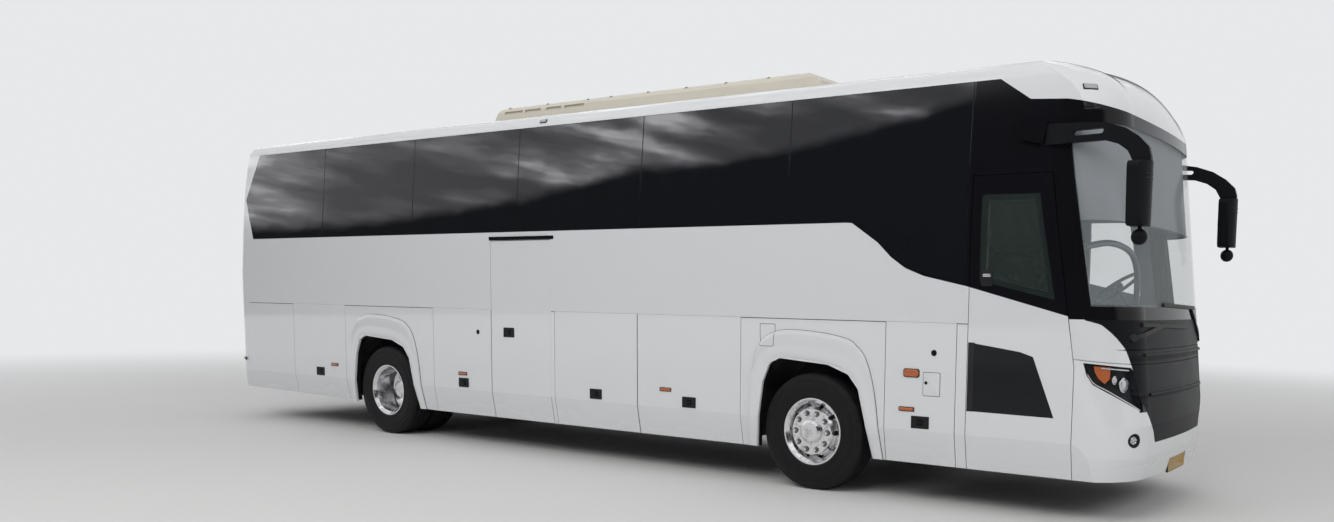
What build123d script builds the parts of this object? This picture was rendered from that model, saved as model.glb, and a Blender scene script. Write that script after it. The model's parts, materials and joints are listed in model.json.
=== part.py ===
"""High-floor touring coach on two axles, with its entrance on the right-hand side.

Lengths are in millimetres. +X points to the front, +Y to the driver's side and +Z up. The origin is
on the ground, under the middle of the coach with its mirrors.
"""
from build123d import *
from math import cos, hypot, radians, sin
import os

os.makedirs("parts", exist_ok=True)

# Whole coach
WHEELBASE = 6060
FRONT_OVERHANG = 2900
REAR_OVERHANG = 3140
MIRROR_REACH = 2960
HALF_WIDTH = 1275
WALL = 60
GLASS = 12
SEAM = 6
SLIP = 0.3
FRONT_AXLE_X = (WHEELBASE + REAR_OVERHANG - MIRROR_REACH) / 2
REAR_AXLE_X = FRONT_AXLE_X - WHEELBASE
NOSE_X = FRONT_AXLE_X + FRONT_OVERHANG
REAR_X = REAR_AXLE_X - REAR_OVERHANG

# Heights of the body's lines
SKIRT_Z = 340
REAR_SKIRT_Z = 400
TUCK_TOP_Z = 620
FLAP_TOP_Z = 1515
BELT_Z = 2335
WINDOW_TOP_Z = 3415
SHOULDER_Z = 3553
ROOF_Z = 3620

# Cross-section of the body
SKIRT_TUCK = 50
TUMBLEHOME = 85
SHOULDER_IN = 150
SHOULDER_BULGE = 0.17
BELOW = 60

# Nose: height, and how far the middle of the face lies behind the foremost point
NOSE_PROFILE = [(SKIRT_Z - BELOW, 50), (520, 0), (760, 0), (1560, 80), (3130, 250)]
NOSE_CORNER = 480
NOSE_SAG = 40

# Domed cap over the windscreen: height, set back, corner radius, sag of the middle
CAP_SECTIONS = [(3130, 250, 480, 40), (3300, 290, 540, 60), (3450, 400, 640, 90), (3560, 600, 760, 130),
                (3640, 950, 900, 180)]

# Back of the body: height, and how far the middle of the face lies ahead of the rearmost point
REAR_PROFILE = [(SKIRT_Z - BELOW, 45), (700, 0), (1900, 0), (3000, 130), (3360, 200), (3500, 265),
                (3590, 380), (3650, 600)]
REAR_CORNER = 150
REAR_SAG = 50
REAR_SEAM_X = REAR_X + REAR_SAG + REAR_CORNER

# Side seams, from the front axle forwards
DOOR_REAR = 1500
FRONT_FLAP = (750, 1410)
FRONT_ARCH = (-760, 750)
MID_DOOR = (-4150, -3230)
LUGGAGE_FRONT = -760
LUGGAGE_MIDDLE = -2030
LUGGAGE_REAR = -3180

# Side seams, from the rear axle forwards
REAR_ARCH = (-730, 930)
SERVICE_FLAP = (-1830, -730)

# Door tops and the leaning front edge of the entrance door
DOOR_TOP_Z = 2680
MID_DOOR_TOP_Z = 2250
DOOR_EDGE = [(SKIRT_Z - BELOW, 2390), (1200, 2390), (1590, 2330), (DOOR_TOP_Z, 2160), (3400, 2045)]

# Lower edge of the white roof, height against the distance ahead of the front axle
ROOF_EDGE = [(1680, WINDOW_TOP_Z), (1940, 3240), (2240, 3217), (2460, 3171), (2650, 3125), (3200, 3105)]

# Windows
PANE_LENGTH = 1737
FIRST_DIVIDER = -277
PANE_COUNT = 5
PANE_GAP = 8
PANE_REBATE = 45
SWOOP = [(390, BELT_Z), (680, 2145), (920, 1955), (1480, 1820)]
PILLAR = 110
COWL_Z = 1570
SCREEN_LOW_Z = 1640
HEADER_Z = 3050

# Wheel openings and their raised lips, from the axle forwards
ARCH_OPENING = [(-600, 270), (-505, 940), (-430, 1110), (-320, 1160), (190, 1125), (400, 1050), (500, 930),
                (575, 640), (645, 270)]
ARCH_LIP = [(-690, 270), (-640, 980), (-555, 1270), (-370, 1395), (-60, 1412), (320, 1368), (470, 1300),
            (580, 1160), (665, 850), (735, 270)]
LIP_HEIGHT = 16

# Front panels in the front view: distance in from the side, height
GRILLE_EDGE = [(13, COWL_Z), (75, 1532), (145, 1437), (205, 1347), (248, 1219), (318, 967), (451, 805),
               (525, 713), (568, 620)]
BUMPER_EDGE = [(620, 620), (695, 260)]
PANEL_BACK = 2450

# On those panels: ribs as distance in from the side, lowest and highest height; the panel's upper seam;
# the seam across the corner from the door's edge forwards; the plate's recess as half width and top
RIBS = [(395, 1294, 1316), (470, 989, 1011)]
FRONT_SEAM = (150, 1341, 1349)
CORNER_SEAM = [(2300, 1272), (2900, 1224), (2900, 1230), (2300, 1278)]
PLATE_RECESS = (275, 446)

# Wipers in the front view: strips from one end to the other, with their width
WIPERS = [("low blade", -890, 1536, 360, 1507, 30), ("low arm", -1010, 1438, -420, 1530, 34),
          ("high blade", -400, 1691, 700, 1669, 30), ("high arm", 930, 1400, 560, 1672, 34)]
WIPER_BOSS = 32

# Headlamp, seen from 45 degrees to the front: distance along that view, height; fog lamp: distance in from
# the side, height, radius
LAMP_HALF = 1275
LAMP_OUTLINE = [(844, 1245), (865, 1155), (909, 1081), (998, 1032), (1160, 949), (1341, 866), (1320, 1080),
                (1216, 1211)]
FOG_LAMP = (249, 658, 55)

# Back of the coach: distance in from the side, lowest and highest height; lamps: inner and outer edge
ENGINE_DOOR = (395, 760, 1800)
REAR_PANE = (235, 2450, 3260)
TAIL_LAMP = (275, 95, 900, 1500)
LOUVRES = 9
LOUVRE_FIRST_Z = 960
LOUVRE_PITCH = 62
LOUVRE_HALF = 560
LOUVRE_HEIGHT = 24

# Gutter over the middle door in the side view: ends ahead of the front axle, heights
GUTTER = (-4150, -3250, 2264, 2286)

# Wheels and axles
TYRE_RADIUS = 520
TYRE_WIDTH = 295
RIM_RADIUS = 298
FRONT_WHEEL_Y = HALF_WIDTH - 177
REAR_WHEEL_Y = HALF_WIDTH - 187
TWIN_SPACING = 333
KINGPIN_Y = FRONT_WHEEL_Y - 168
SPINDLE_RADIUS = 45
RUNNING_FIT = 0.05

HUB_RADIUS = 105
HUB_CROWN = 82
HUB_ROUND = 12
FLANGE = 13
RIM_DEPTH = 42
RIM_INSET = 14
DISC = 14
DISH_RADIUS = 190
HAND_HOLES = 10
HAND_HOLE_RADIUS = 21
HAND_HOLE_CIRCLE = 229
STUDS = 10
STUD_CIRCLE = 167.5
STUD_RADIUS = 11
STUD_LENGTH = 28
DISC_OFFSET = 125
CONE_RADIUS = 203
CONE_DEPTH = 70
FRONT_HUB_REACH = 48
REAR_HUB_REACH = 150
REAR_HUB_DEPTH = 140

# Wheel arch liners: inner radius, wall, lowest height, inner ends
LINER_RADIUS = 722
LINER_WALL = 6
LINER_LOW_Z = 400
FRONT_LINER_Y = 650
REAR_LINER_Y = 590

# Axles and steering
BEAM_HEIGHT = 100
BEAM_WIDTH = 90
KINGPIN_RADIUS = 24
EYE_RADIUS = 52
EYE_HEIGHT = 170
YOKE_HEIGHT = 40
YOKE_RADIUS = 60
KNUCKLE_PLATE = 25
REAR_TUBE_RADIUS = 75
DIFFERENTIAL_RADIUS = 210
PAD_RADIUS = 40

# Floor, luggage bay and frame
FLOOR_Z = FLAP_TOP_Z
FLOOR_THICKNESS = 55
BAY_Z = 420
BAY_SHEET = 40
BULKHEAD = 30
RAIL_Y = 430
RAIL_WIDTH = 80
RAIL_Z = 640
RAIL_HEIGHT = 160
SIDE_GAP = 10
ENGINE_LENGTH = 1300
ENGINE_HEIGHT = 560

# Driver's place and entrance
PLATFORM_Z = 1080
WELL_Y = 250
WELL_REAR = 1330
STEP_LOW_Z = 400
STEPS = 4

# Hinge rods on the moving panels
ROD_RADIUS = 8
ENGINE_ROD_RADIUS = 10
ENGINE_HINGE_LENGTH = 800

# Seats
ROW_PITCH = 790
FIRST_ROW = 520
ROWS = 11
SEAT_WIDTH = 450
SEAT_GAP = 50
SEAT_PROFILE = [(0, 0), (60, 0), (60, 290), (300, 330), (470, 330), (470, 450), (90, 430), (-120, 1120),
                (-230, 1120), (-70, 380), (0, 330)]

DRIVER_X = 1520
DRIVER_Y = 700
WHEEL_AHEAD = 560
WHEEL_UP = 760
WHEEL_RAKE = 35
WHEEL_RING = 225
WHEEL_GRIP = 16
COLUMN_LENGTH = 620
DASH_HALF = HALF_WIDTH - 315
DASH_PROFILE = [(2200, 1080), (2300, 1080), (2340, 1400), (2620, 1450), (2620, 1540), (2380, 1600),
                (2180, 1500)]
COWL_PROFILE = [(2440, 1420), (2620, 1450), (2620, 1540), (2440, 1590)]

# Entrance door's arms
ARM_LENGTH = 440
ARM_PIVOT = 2180
ARM_SLANT = 3.5
ARM_Y = HALF_WIDTH - 145
ARM_LEVELS = (720, 1600)
ARM_HEIGHT = 50
ARM_THICKNESS = 30
POST_RADIUS = 28
PIN_RADIUS = 12

# Things on the roof
POD_HALF = HALF_WIDTH - 455
POD_PROFILE = [(-4600, 3500), (-4590, 3600), (-4520, 3700), (-4430, 3762), (-3110, 3772), (-3080, 3790),
               (-1500, 3800), (-700, 3795), (-420, 3755), (-230, 3655), (-200, 3500)]
POD_SECTION = [(0, 3500), (0, 3690), (22, 3726), (70, 3747), (400, 3788)]
POD_SLOTS = [(-4420, -4130), (-4095, -3850), (-3765, -3540), (-3490, -3200)]
POD_TOP_Z = 3800
POD_SLOT_Z = (3665, 3695)
POD_SLOT_DEPTH = 25

# Mirrors: the arm and its slot in the side view from the front axle, the head's depth, upper width,
# lower width and height, the small round mirror under it
MIRROR_Y = HALF_WIDTH + 179
MIRROR_ARM = [(1880, 2880), (2300, 2877), (2580, 2868), (2690, 2832), (2770, 2775), (2815, 2690), (2815, 2620),
              (2950, 2620), (2950, 2720), (2930, 2790), (2850, 2870), (2740, 2940), (2600, 2988), (2480, 3006),
              (2280, 3022), (1880, 3050)]
MIRROR_SLOT = [(2330, 2922), (2560, 2918), (2575, 2938), (2560, 2957), (2330, 2962), (2315, 2942)]
MIRROR_ARM_HALF = 22
MIRROR_ROOT_Z = 2960
MIRROR_HEAD = (145, 270, 215, 450)
MIRROR_HEAD_Z = 2465
MIRROR_ROUND = 45
MIRROR_BALL_Z = 2165
MIRROR_BALL_RADIUS = 58
MIRROR_STEM = 15


def front_x(distance):
    """Place along the coach, given ahead of the front axle."""
    return FRONT_AXLE_X + distance


def rear_x(distance):
    """Place along the coach, given ahead of the rear axle."""
    return REAR_AXLE_X + distance


def half_width(z, inset=0):
    """Half width of the side at a height, less an inset."""
    if z < TUCK_TOP_Z:
        return HALF_WIDTH - SKIRT_TUCK * (TUCK_TOP_Z - z) / (TUCK_TOP_Z - SKIRT_Z) - inset
    if z < BELT_Z:
        return HALF_WIDTH - inset
    return HALF_WIDTH - TUMBLEHOME * (z - BELT_Z) / (WINDOW_TOP_Z - BELT_Z) - inset


def bulge(a, b, share):
    """Middle of an arc from a to b that stands out to the right of the chord by a share of it."""
    dx = b[0] - a[0]
    dz = b[1] - a[1]
    return ((a[0] + b[0]) / 2 + dz * share, (a[1] + b[1]) / 2 - dx * share)


def section_prism(inset, low_z):
    """The body's cross-section, drawn along its whole length."""
    side = [(half_width(z, inset), z) for z in (low_z, TUCK_TOP_Z, BELT_Z, WINDOW_TOP_Z)]
    shoulder = (HALF_WIDTH - TUMBLEHOME - SHOULDER_IN - inset, SHOULDER_Z - inset)
    corner = bulge(side[-1], shoulder, SHOULDER_BULGE)
    with BuildPart() as prism:
        with BuildSketch(Plane.YZ.offset(REAR_X - BELOW)):
            with BuildLine():
                for sign in (1, -1):
                    Polyline(*[(sign * y, z) for y, z in side])
                    ThreePointArc((sign * side[-1][0], side[-1][1]), (sign * corner[0], corner[1]),
                                  (sign * shoulder[0], shoulder[1]))
                ThreePointArc(shoulder, (0, ROOF_Z - inset), (-shoulder[0], shoulder[1]))
                Line((-side[0][0], low_z), (side[0][0], low_z))
            make_face()
        extrude(amount=NOSE_X - REAR_X + 2 * BELOW)
    return prism.part


def plan_face(z, end_x, corner, sag, inset, way):
    """Half of the body in plan at a height, from the middle to a rounded end; way is 1 for the nose."""
    half = HALF_WIDTH - inset
    radius = corner - inset
    flat = end_x - way * (sag + inset)
    turn = radius * (1 - cos(radians(45)))
    with BuildSketch(Plane.XY.offset(z)) as plan:
        with BuildLine():
            for sign in (1, -1):
                Line((0, sign * half), (flat - way * radius, sign * half))
                ThreePointArc((flat - way * radius, sign * half), (flat - way * turn, sign * (half - turn)),
                              (flat, sign * (half - radius)))
            ThreePointArc((flat, half - radius), (end_x - way * inset, 0), (flat, radius - half))
            Line((0, -half), (0, half))
        make_face()
    return plan.sketch


def body_block(inset):
    """The closed outer form of the body, each face set in by an inset."""
    low_z = SKIRT_Z - (BELOW if inset > 0 else 0)
    prism = section_prism(inset, low_z)
    with BuildPart() as block:
        for way, end_x, profile, corner, sag in ((1, NOSE_X, NOSE_PROFILE, NOSE_CORNER, NOSE_SAG),
                                                 (-1, REAR_X, REAR_PROFILE, REAR_CORNER, REAR_SAG)):
            for (z, back), (next_z, next_back) in zip(profile, profile[1:]):
                plan = plan_face(z, end_x - way * back, corner, sag, inset, way)
                lean = way * (back - next_back)
                extrude(plan, amount=hypot(lean, next_z - z), dir=(lean, 0, next_z - z))
        loft([plan_face(z, NOSE_X - back, corner, sag, inset, 1) for z, back, corner, sag in CAP_SECTIONS])
        add(prism, mode=Mode.INTERSECT)
    return block.part


def side_region(points, inset=0, reach=(-2000, 2000), radius=0):
    """A region drawn in the side view, across the coach between two places."""
    with BuildPart() as region:
        with BuildSketch(Plane.XZ.offset(-reach[1])):
            with BuildLine():
                if radius:
                    FilletPolyline(*points, radius=radius, close=True)
                else:
                    Polyline(*points, close=True)
            make_face()
            if inset:
                offset(amount=-inset, kind=Kind.INTERSECTION)
        extrude(amount=reach[1] - reach[0])
    return region.part


def front_region(points, x_low, x_high, inset=0):
    """A region drawn in the front view, along the coach between two places."""
    with BuildPart() as region:
        with BuildSketch(Plane.YZ.offset(x_low)):
            with BuildLine():
                Polyline(*points, close=True)
            make_face()
            if inset:
                offset(amount=-inset, kind=Kind.INTERSECTION)
        extrude(amount=x_high - x_low)
    return region.part


def rectangle(x0, z0, x1, z1):
    """Corners of an upright rectangle."""
    return [(x0, z0), (x1, z0), (x1, z1), (x0, z1)]


def front_band(gap, low, high):
    """A level band across the front, in from each side by a gap."""
    return front_region(rectangle(gap - HALF_WIDTH, low, HALF_WIDTH - gap, high), front_x(PANEL_BACK),
                        NOSE_X + BELOW)


def strip(y0, z0, y1, z1, width):
    """Corners of a strip of a width between two places in the front view."""
    length = hypot(y1 - y0, z1 - z0)
    across = (width / 2 * (z0 - z1) / length, width / 2 * (y1 - y0) / length)
    return [(y0 - across[0], z0 - across[1]), (y1 - across[0], z1 - across[1]),
            (y1 + across[0], z1 + across[1]), (y0 + across[0], z0 + across[1])]


def both_sides(edge):
    """A closed outline in the front view from one edge, given in from the side, and its mirror image."""
    return [(HALF_WIDTH - gap, z) for gap, z in edge] + [(gap - HALF_WIDTH, z) for gap, z in reversed(edge)]


def span(sign):
    """How far a side's pieces reach across the coach."""
    return (0, 2000) if sign > 0 else (-2000, 0)


def edge_at(table, z):
    """Distance ahead of the front axle of a leaning edge, given as (height, distance)."""
    for (z0, x0), (z1, x1) in zip(table, table[1:]):
        if z <= z1:
            return x0 + (x1 - x0) * (z - z0) / (z1 - z0)
    return table[-1][1]


def piece(name, shape):
    """Label a finished piece and write it."""
    shape.label = name
    print(name, len(shape.solids()), shape.is_valid)
    export_step(shape, "parts/" + name + ".step")


# Skins of the body: the whole wall, the thin layer that the glass takes, and the raised wheel lips
FAR = 2000
HIGH = ROOF_Z + 200
LOW = SKIRT_Z - BELOW
outer = body_block(0)
inner = body_block(WALL)
rear_rise = [(REAR_X - BELOW, LOW), (REAR_X - BELOW, REAR_SKIRT_Z), (rear_x(REAR_ARCH[1]), SKIRT_Z),
             (rear_x(REAR_ARCH[1]), LOW)]
under_cut = side_region(rear_rise)
with BuildPart() as wall_skin:
    add(outer)
    add(inner, mode=Mode.SUBTRACT)
    add(under_cut, mode=Mode.SUBTRACT)
with BuildPart() as glass_skin:
    add(outer)
    add(body_block(GLASS), mode=Mode.SUBTRACT)
with BuildPart() as lip_skin:
    add(body_block(-LIP_HEIGHT))
    add(inner, mode=Mode.SUBTRACT)
    add(under_cut, mode=Mode.SUBTRACT)
SKIN = wall_skin.part
THIN_SKIN = glass_skin.part
LIP_SKIN = lip_skin.part

# Seam between the sides and the back wall, which leans with the back
REAR_SEAM = [(REAR_SEAM_X, LOW)] + [(REAR_SEAM_X + back, z) for z, back in REAR_PROFILE if z > FLAP_TOP_Z]
REAR_REACH = REAR_SEAM[-1][0]

# Roof with the domed cap over the windscreen
ROOF_LINE = [(front_x(x), z) for x, z in ROOF_EDGE]
roof_above = [(REAR_X - BELOW, WINDOW_TOP_Z)] + ROOF_LINE + [(ROOF_LINE[-1][0], HIGH), (REAR_X - BELOW, HIGH)]
roof_cut = side_region(roof_above)
with BuildPart() as roof:
    add(SKIN)
    add(roof_cut, mode=Mode.INTERSECT)
piece("roof", roof.part)

# Window panes of a side, from the front axle forwards, in the side view
REAR_EDGE = [(-8670, WINDOW_TOP_Z), (-8960, 2850), (-8750, BELT_Z)]
dividers = [FIRST_DIVIDER - PANE_LENGTH * i for i in range(PANE_COUNT)]
PANES = [rectangle(rear, BELT_Z, front, WINDOW_TOP_Z) for rear, front in zip(dividers[1:], dividers)]
PANES.append(REAR_EDGE + [(dividers[-1], BELT_Z), (dividers[-1], WINDOW_TOP_Z)])
PANES.append([(FIRST_DIVIDER, BELT_Z)] + SWOOP + [(SWOOP[-1][0], WINDOW_TOP_Z), (FIRST_DIVIDER, WINDOW_TOP_Z)])
PANES = [[(front_x(x), z) for x, z in points] for points in PANES]
DOOR_PANE = [(front_x(x), z) for x, z in ((1590, 1853), (2218, 1713), (2062, 2520), (1590, 2524))]
LOW_PANE = [(front_x(x), z) for x, z in ((1560, 815), (2242, 810), (2058, 1273), (1950, 1307), (1560, 1360))]
side_gap, low_z, high_z = REAR_PANE
rear_outline = rectangle(side_gap - HALF_WIDTH, low_z, HALF_WIDTH - side_gap, high_z)

with BuildPart() as all_panes:
    add([side_region(points, PANE_GAP / 2) for points in PANES])
    add(side_region(DOOR_PANE, 0, span(1)))
    add(front_region(rear_outline, REAR_X - BELOW, REAR_REACH))
with BuildPart() as pane_openings:
    add([side_region(points, PANE_REBATE) for points in PANES])
    add(side_region(DOOR_PANE, PANE_REBATE, span(1)))
    add(front_region(rear_outline, REAR_X - BELOW, REAR_REACH, PANE_REBATE))
with BuildPart() as dark_glass:
    add(THIN_SKIN)
    add(all_panes.part, mode=Mode.INTERSECT)
piece("dark_glass", dark_glass.part)

# Upper side walls
door_edge = [(front_x(x), z) for z, x in DOOR_EDGE]
edge_above = [(front_x(x), z) for z, x in DOOR_EDGE if z > FLAP_TOP_Z]
edge_over_door = [(front_x(x), z) for z, x in DOOR_EDGE if z >= DOOR_TOP_Z]
back_of_wall = [(REAR_REACH, HIGH)] + REAR_SEAM[:0:-1] + [(REAR_SEAM_X, FLAP_TOP_Z)]
front_edge_z = edge_at(DOOR_EDGE, FLAP_TOP_Z)
mid_door_hole = rectangle(front_x(MID_DOOR[0]), LOW, front_x(MID_DOOR[1]), MID_DOOR_TOP_Z)
gutter_rear, gutter_front, gutter_low, gutter_high = GUTTER
with BuildPart() as gutter:
    add(LIP_SKIN)
    add(side_region(rectangle(front_x(gutter_rear), gutter_low, front_x(gutter_front), gutter_high), 0, span(-1)),
        mode=Mode.INTERSECT)
wall_outlines = {
    "side_wall_right": (-1, back_of_wall + [(front_x(DOOR_REAR), FLAP_TOP_Z), (front_x(DOOR_REAR), DOOR_TOP_Z)]
                        + edge_over_door + [(edge_over_door[-1][0], HIGH)]),
    "side_wall_left": (1, back_of_wall + [(front_x(front_edge_z), FLAP_TOP_Z)] + edge_above
                       + [(edge_above[-1][0], HIGH)]),
}
for name, (sign, points) in wall_outlines.items():
    with BuildPart() as side_wall:
        add(SKIN)
        add(side_region(points, 0, span(sign)), mode=Mode.INTERSECT)
        add(roof_cut, mode=Mode.SUBTRACT)
        add(dark_glass.part, mode=Mode.SUBTRACT)
        add(pane_openings.part, mode=Mode.SUBTRACT)
        if sign < 0:
            add(side_region(mid_door_hole, 0, span(sign)), mode=Mode.SUBTRACT)
            add(gutter.part)
    piece(name, side_wall.part)

# Fixed lower panels: side, rear end, front end
REAR_PANEL = (REAR_SEAM_X, rear_x(SERVICE_FLAP[0]))
arches = [(rear_x(REAR_ARCH[0]), rear_x(REAR_ARCH[1])), (front_x(FRONT_ARCH[0]), front_x(FRONT_ARCH[1]))]
fixed_spans = [(-1, REAR_PANEL), (1, REAR_PANEL), (-1, (front_x(MID_DOOR[1]), front_x(LUGGAGE_REAR))),
               (-1, (front_x(FRONT_FLAP[1]), front_x(DOOR_REAR)))]
fixed_spans += [(sign, ends) for sign in (-1, 1) for ends in arches]
front_left = [(front_x(FRONT_ARCH[1]), LOW)] + door_edge[:2] + [(front_x(front_edge_z), FLAP_TOP_Z),
                                                                (front_x(FRONT_ARCH[1]), FLAP_TOP_Z)]
with BuildPart() as lips:
    for axle_x in (REAR_AXLE_X, FRONT_AXLE_X):
        add(side_region([(axle_x + x, z) for x, z in ARCH_LIP], radius=90))
    add(LIP_SKIN, mode=Mode.INTERSECT)
with BuildPart() as lower_panels:
    add([side_region(rectangle(rear, LOW, front, FLAP_TOP_Z), 0, span(sign))
         for sign, (rear, front) in fixed_spans])
    add(side_region(front_left, 0, span(1)))
    add(SKIN, mode=Mode.INTERSECT)
    add(lips.part)
    for axle_x in (REAR_AXLE_X, FRONT_AXLE_X):
        add(side_region([(axle_x + x, z) for x, z in ARCH_OPENING], radius=60), mode=Mode.SUBTRACT)
piece("lower_panels", lower_panels.part)

# Top-hinged flaps of the luggage bay and the service spaces: side, rear end, front end
LEFT_BAY = (front_x(LUGGAGE_FRONT) - rear_x(REAR_ARCH[1])) / 3
FLAPS = {
    "service_flap_right": (-1, rear_x(SERVICE_FLAP[0]), rear_x(SERVICE_FLAP[1])),
    "tank_flap_right": (-1, rear_x(REAR_ARCH[1]), front_x(MID_DOOR[0])),
    "luggage_flap_right_1": (-1, front_x(LUGGAGE_REAR), front_x(LUGGAGE_MIDDLE)),
    "luggage_flap_right_2": (-1, front_x(LUGGAGE_MIDDLE), front_x(LUGGAGE_FRONT)),
    "front_flap_right": (-1, front_x(FRONT_FLAP[0]), front_x(FRONT_FLAP[1])),
    "service_flap_left": (1, rear_x(SERVICE_FLAP[0]), rear_x(SERVICE_FLAP[1])),
    "luggage_flap_left_1": (1, rear_x(REAR_ARCH[1]), rear_x(REAR_ARCH[1]) + LEFT_BAY),
    "luggage_flap_left_2": (1, rear_x(REAR_ARCH[1]) + LEFT_BAY, rear_x(REAR_ARCH[1]) + 2 * LEFT_BAY),
    "luggage_flap_left_3": (1, rear_x(REAR_ARCH[1]) + 2 * LEFT_BAY, front_x(LUGGAGE_FRONT)),
}
HINGE_Z = FLAP_TOP_Z - SLIP - ROD_RADIUS
HINGE_Y = HALF_WIDTH - ROD_RADIUS
for name, (sign, rear, front) in FLAPS.items():
    with BuildPart() as flap:
        add(SKIN)
        add(side_region(rectangle(rear, LOW - BELOW, front, HINGE_Z + SEAM), SEAM, span(sign)),
            mode=Mode.INTERSECT)
        with BuildSketch(Plane.YZ.offset(rear + SEAM)):
            with Locations((sign * HINGE_Y, HINGE_Z)):
                Circle(ROD_RADIUS)
        extrude(amount=front - rear - 2 * SEAM)
    piece(name, flap.part)

# Middle door, on a rod at its front edge
MID_HINGE_X = front_x(MID_DOOR[1]) - SLIP - ROD_RADIUS
with BuildPart() as mid_door:
    add(SKIN)
    leaf = rectangle(front_x(MID_DOOR[0]), LOW - BELOW, MID_HINGE_X + SEAM, MID_DOOR_TOP_Z)
    add(side_region(leaf, SEAM, span(-1)), mode=Mode.INTERSECT)
    with BuildSketch(Plane.XY.offset(TUCK_TOP_Z)):
        with Locations((MID_HINGE_X, -HINGE_Y)):
            Circle(ROD_RADIUS)
    extrude(amount=MID_DOOR_TOP_Z - SEAM - TUCK_TOP_Z)
piece("mid_door", mid_door.part)

# Entrance door with its two panes, carried on pins by two slightly slanted arms
pivot_x = front_x(ARM_PIVOT)
eye_x = pivot_x - ARM_LENGTH * cos(radians(ARM_SLANT))
eye_y = -ARM_Y + ARM_LENGTH * sin(radians(ARM_SLANT))
door_leaf = [(front_x(DOOR_REAR), LOW - BELOW), (door_edge[0][0], LOW - BELOW)]
door_leaf += [point for point in door_edge[1:] if point[1] <= DOOR_TOP_Z] + [(front_x(DOOR_REAR), DOOR_TOP_Z)]
with BuildPart() as entrance_glass:
    add([side_region(points, 0, span(-1)) for points in (DOOR_PANE, LOW_PANE)])
    add(THIN_SKIN, mode=Mode.INTERSECT)
piece("entrance_glass", entrance_glass.part)
with BuildPart() as entrance_door:
    add(SKIN)
    add(side_region(door_leaf, SEAM, span(-1)), mode=Mode.INTERSECT)
    add(entrance_glass.part, mode=Mode.SUBTRACT)
    for points in (DOOR_PANE, LOW_PANE):
        add(side_region(points, PANE_REBATE, span(-1)), mode=Mode.SUBTRACT)
    for level in ARM_LEVELS:
        with BuildSketch(Plane.XY.offset(level - SEAM - ARM_THICKNESS)):
            with Locations((eye_x, eye_y)):
                Circle(PIN_RADIUS + ARM_THICKNESS / 2)
            with Locations((eye_x, (eye_y - HALF_WIDTH + WALL / 2) / 2)):
                Rectangle(ARM_THICKNESS, HALF_WIDTH - WALL / 2 + eye_y)
        extrude(amount=ARM_THICKNESS)
        with BuildSketch(Plane.XY.offset(level - SEAM)):
            with Locations((eye_x, eye_y)):
                Circle(PIN_RADIUS)
        extrude(amount=ARM_HEIGHT + SEAM)
piece("entrance_door", entrance_door.part)

# Front: black centre panel, bumper, lamps, white corners, windscreen and its frame
grille_front = both_sides(GRILLE_EDGE)
bumper_front = both_sides(BUMPER_EDGE)
grille_region = front_region(grille_front, front_x(PANEL_BACK), NOSE_X + BELOW)
bumper_region = front_region(bumper_front, front_x(PANEL_BACK), NOSE_X + BELOW)
with BuildPart() as ribs:
    add([front_band(gap, low, high) for gap, low, high in RIBS])
    add(LIP_SKIN, mode=Mode.INTERSECT)
with BuildPart() as front_grooves:
    add(front_band(*FRONT_SEAM))
    add(front_band(HALF_WIDTH - PLATE_RECESS[0], LOW, PLATE_RECESS[1]))
    add(side_region([(front_x(x), z) for x, z in CORNER_SEAM]))
    add(THIN_SKIN, mode=Mode.INTERSECT)
with BuildPart() as grille:
    add(SKIN)
    add(grille_region, mode=Mode.INTERSECT)
    add(front_grooves.part, mode=Mode.SUBTRACT)
    add(ribs.part)
piece("grille", grille.part)
with BuildPart() as bumper:
    add(SKIN)
    add(bumper_region, mode=Mode.INTERSECT)
    add(front_grooves.part, mode=Mode.SUBTRACT)
piece("bumper", bumper.part)

lamp_shift = (HALF_WIDTH - LAMP_HALF) / 2
lamp_plane = Plane(origin=(FRONT_AXLE_X + lamp_shift, -lamp_shift, 0), x_dir=(1, 1, 0), z_dir=(1, -1, 0))
with BuildPart() as headlamp_region:
    with BuildSketch(lamp_plane.offset(2000)):
        with BuildLine():
            Polyline(*LAMP_OUTLINE, close=True)
        make_face()
    extrude(amount=1500)
    fog_gap, fog_z, fog_radius = FOG_LAMP
    with BuildSketch(Plane.YZ.offset(front_x(PANEL_BACK))):
        with Locations((fog_gap - HALF_WIDTH, fog_z)):
            Circle(fog_radius)
    extrude(amount=1000)
    mirror(about=Plane.XZ)
with BuildPart() as tail_region:
    inner_gap, outer_gap, low_z, high_z = TAIL_LAMP
    tail_outline = rectangle(HALF_WIDTH - inner_gap, low_z, HALF_WIDTH - outer_gap, high_z)
    add(front_region(tail_outline, REAR_X - BELOW, REAR_SEAM_X))
    mirror(about=Plane.XZ)
with BuildPart() as lamps:
    add(headlamp_region.part)
    add(tail_region.part)
    add(SKIN, mode=Mode.INTERSECT)
    add(grille_region, mode=Mode.SUBTRACT)
piece("lamps", lamps.part)

corner_side = [(x, z) for x, z in door_edge if z < COWL_Z] + [(front_x(edge_at(DOOR_EDGE, COWL_Z)), COWL_Z),
                                                              (NOSE_X + BELOW, COWL_Z), (NOSE_X + BELOW, LOW)]
with BuildPart() as front_corners:
    add(SKIN)
    add(side_region(corner_side), mode=Mode.INTERSECT)
    add(grille_region, mode=Mode.SUBTRACT)
    add(bumper_region, mode=Mode.SUBTRACT)
    add(lamps.part, mode=Mode.SUBTRACT)
    add(front_grooves.part, mode=Mode.SUBTRACT)
piece("front_corners", front_corners.part)

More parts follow.
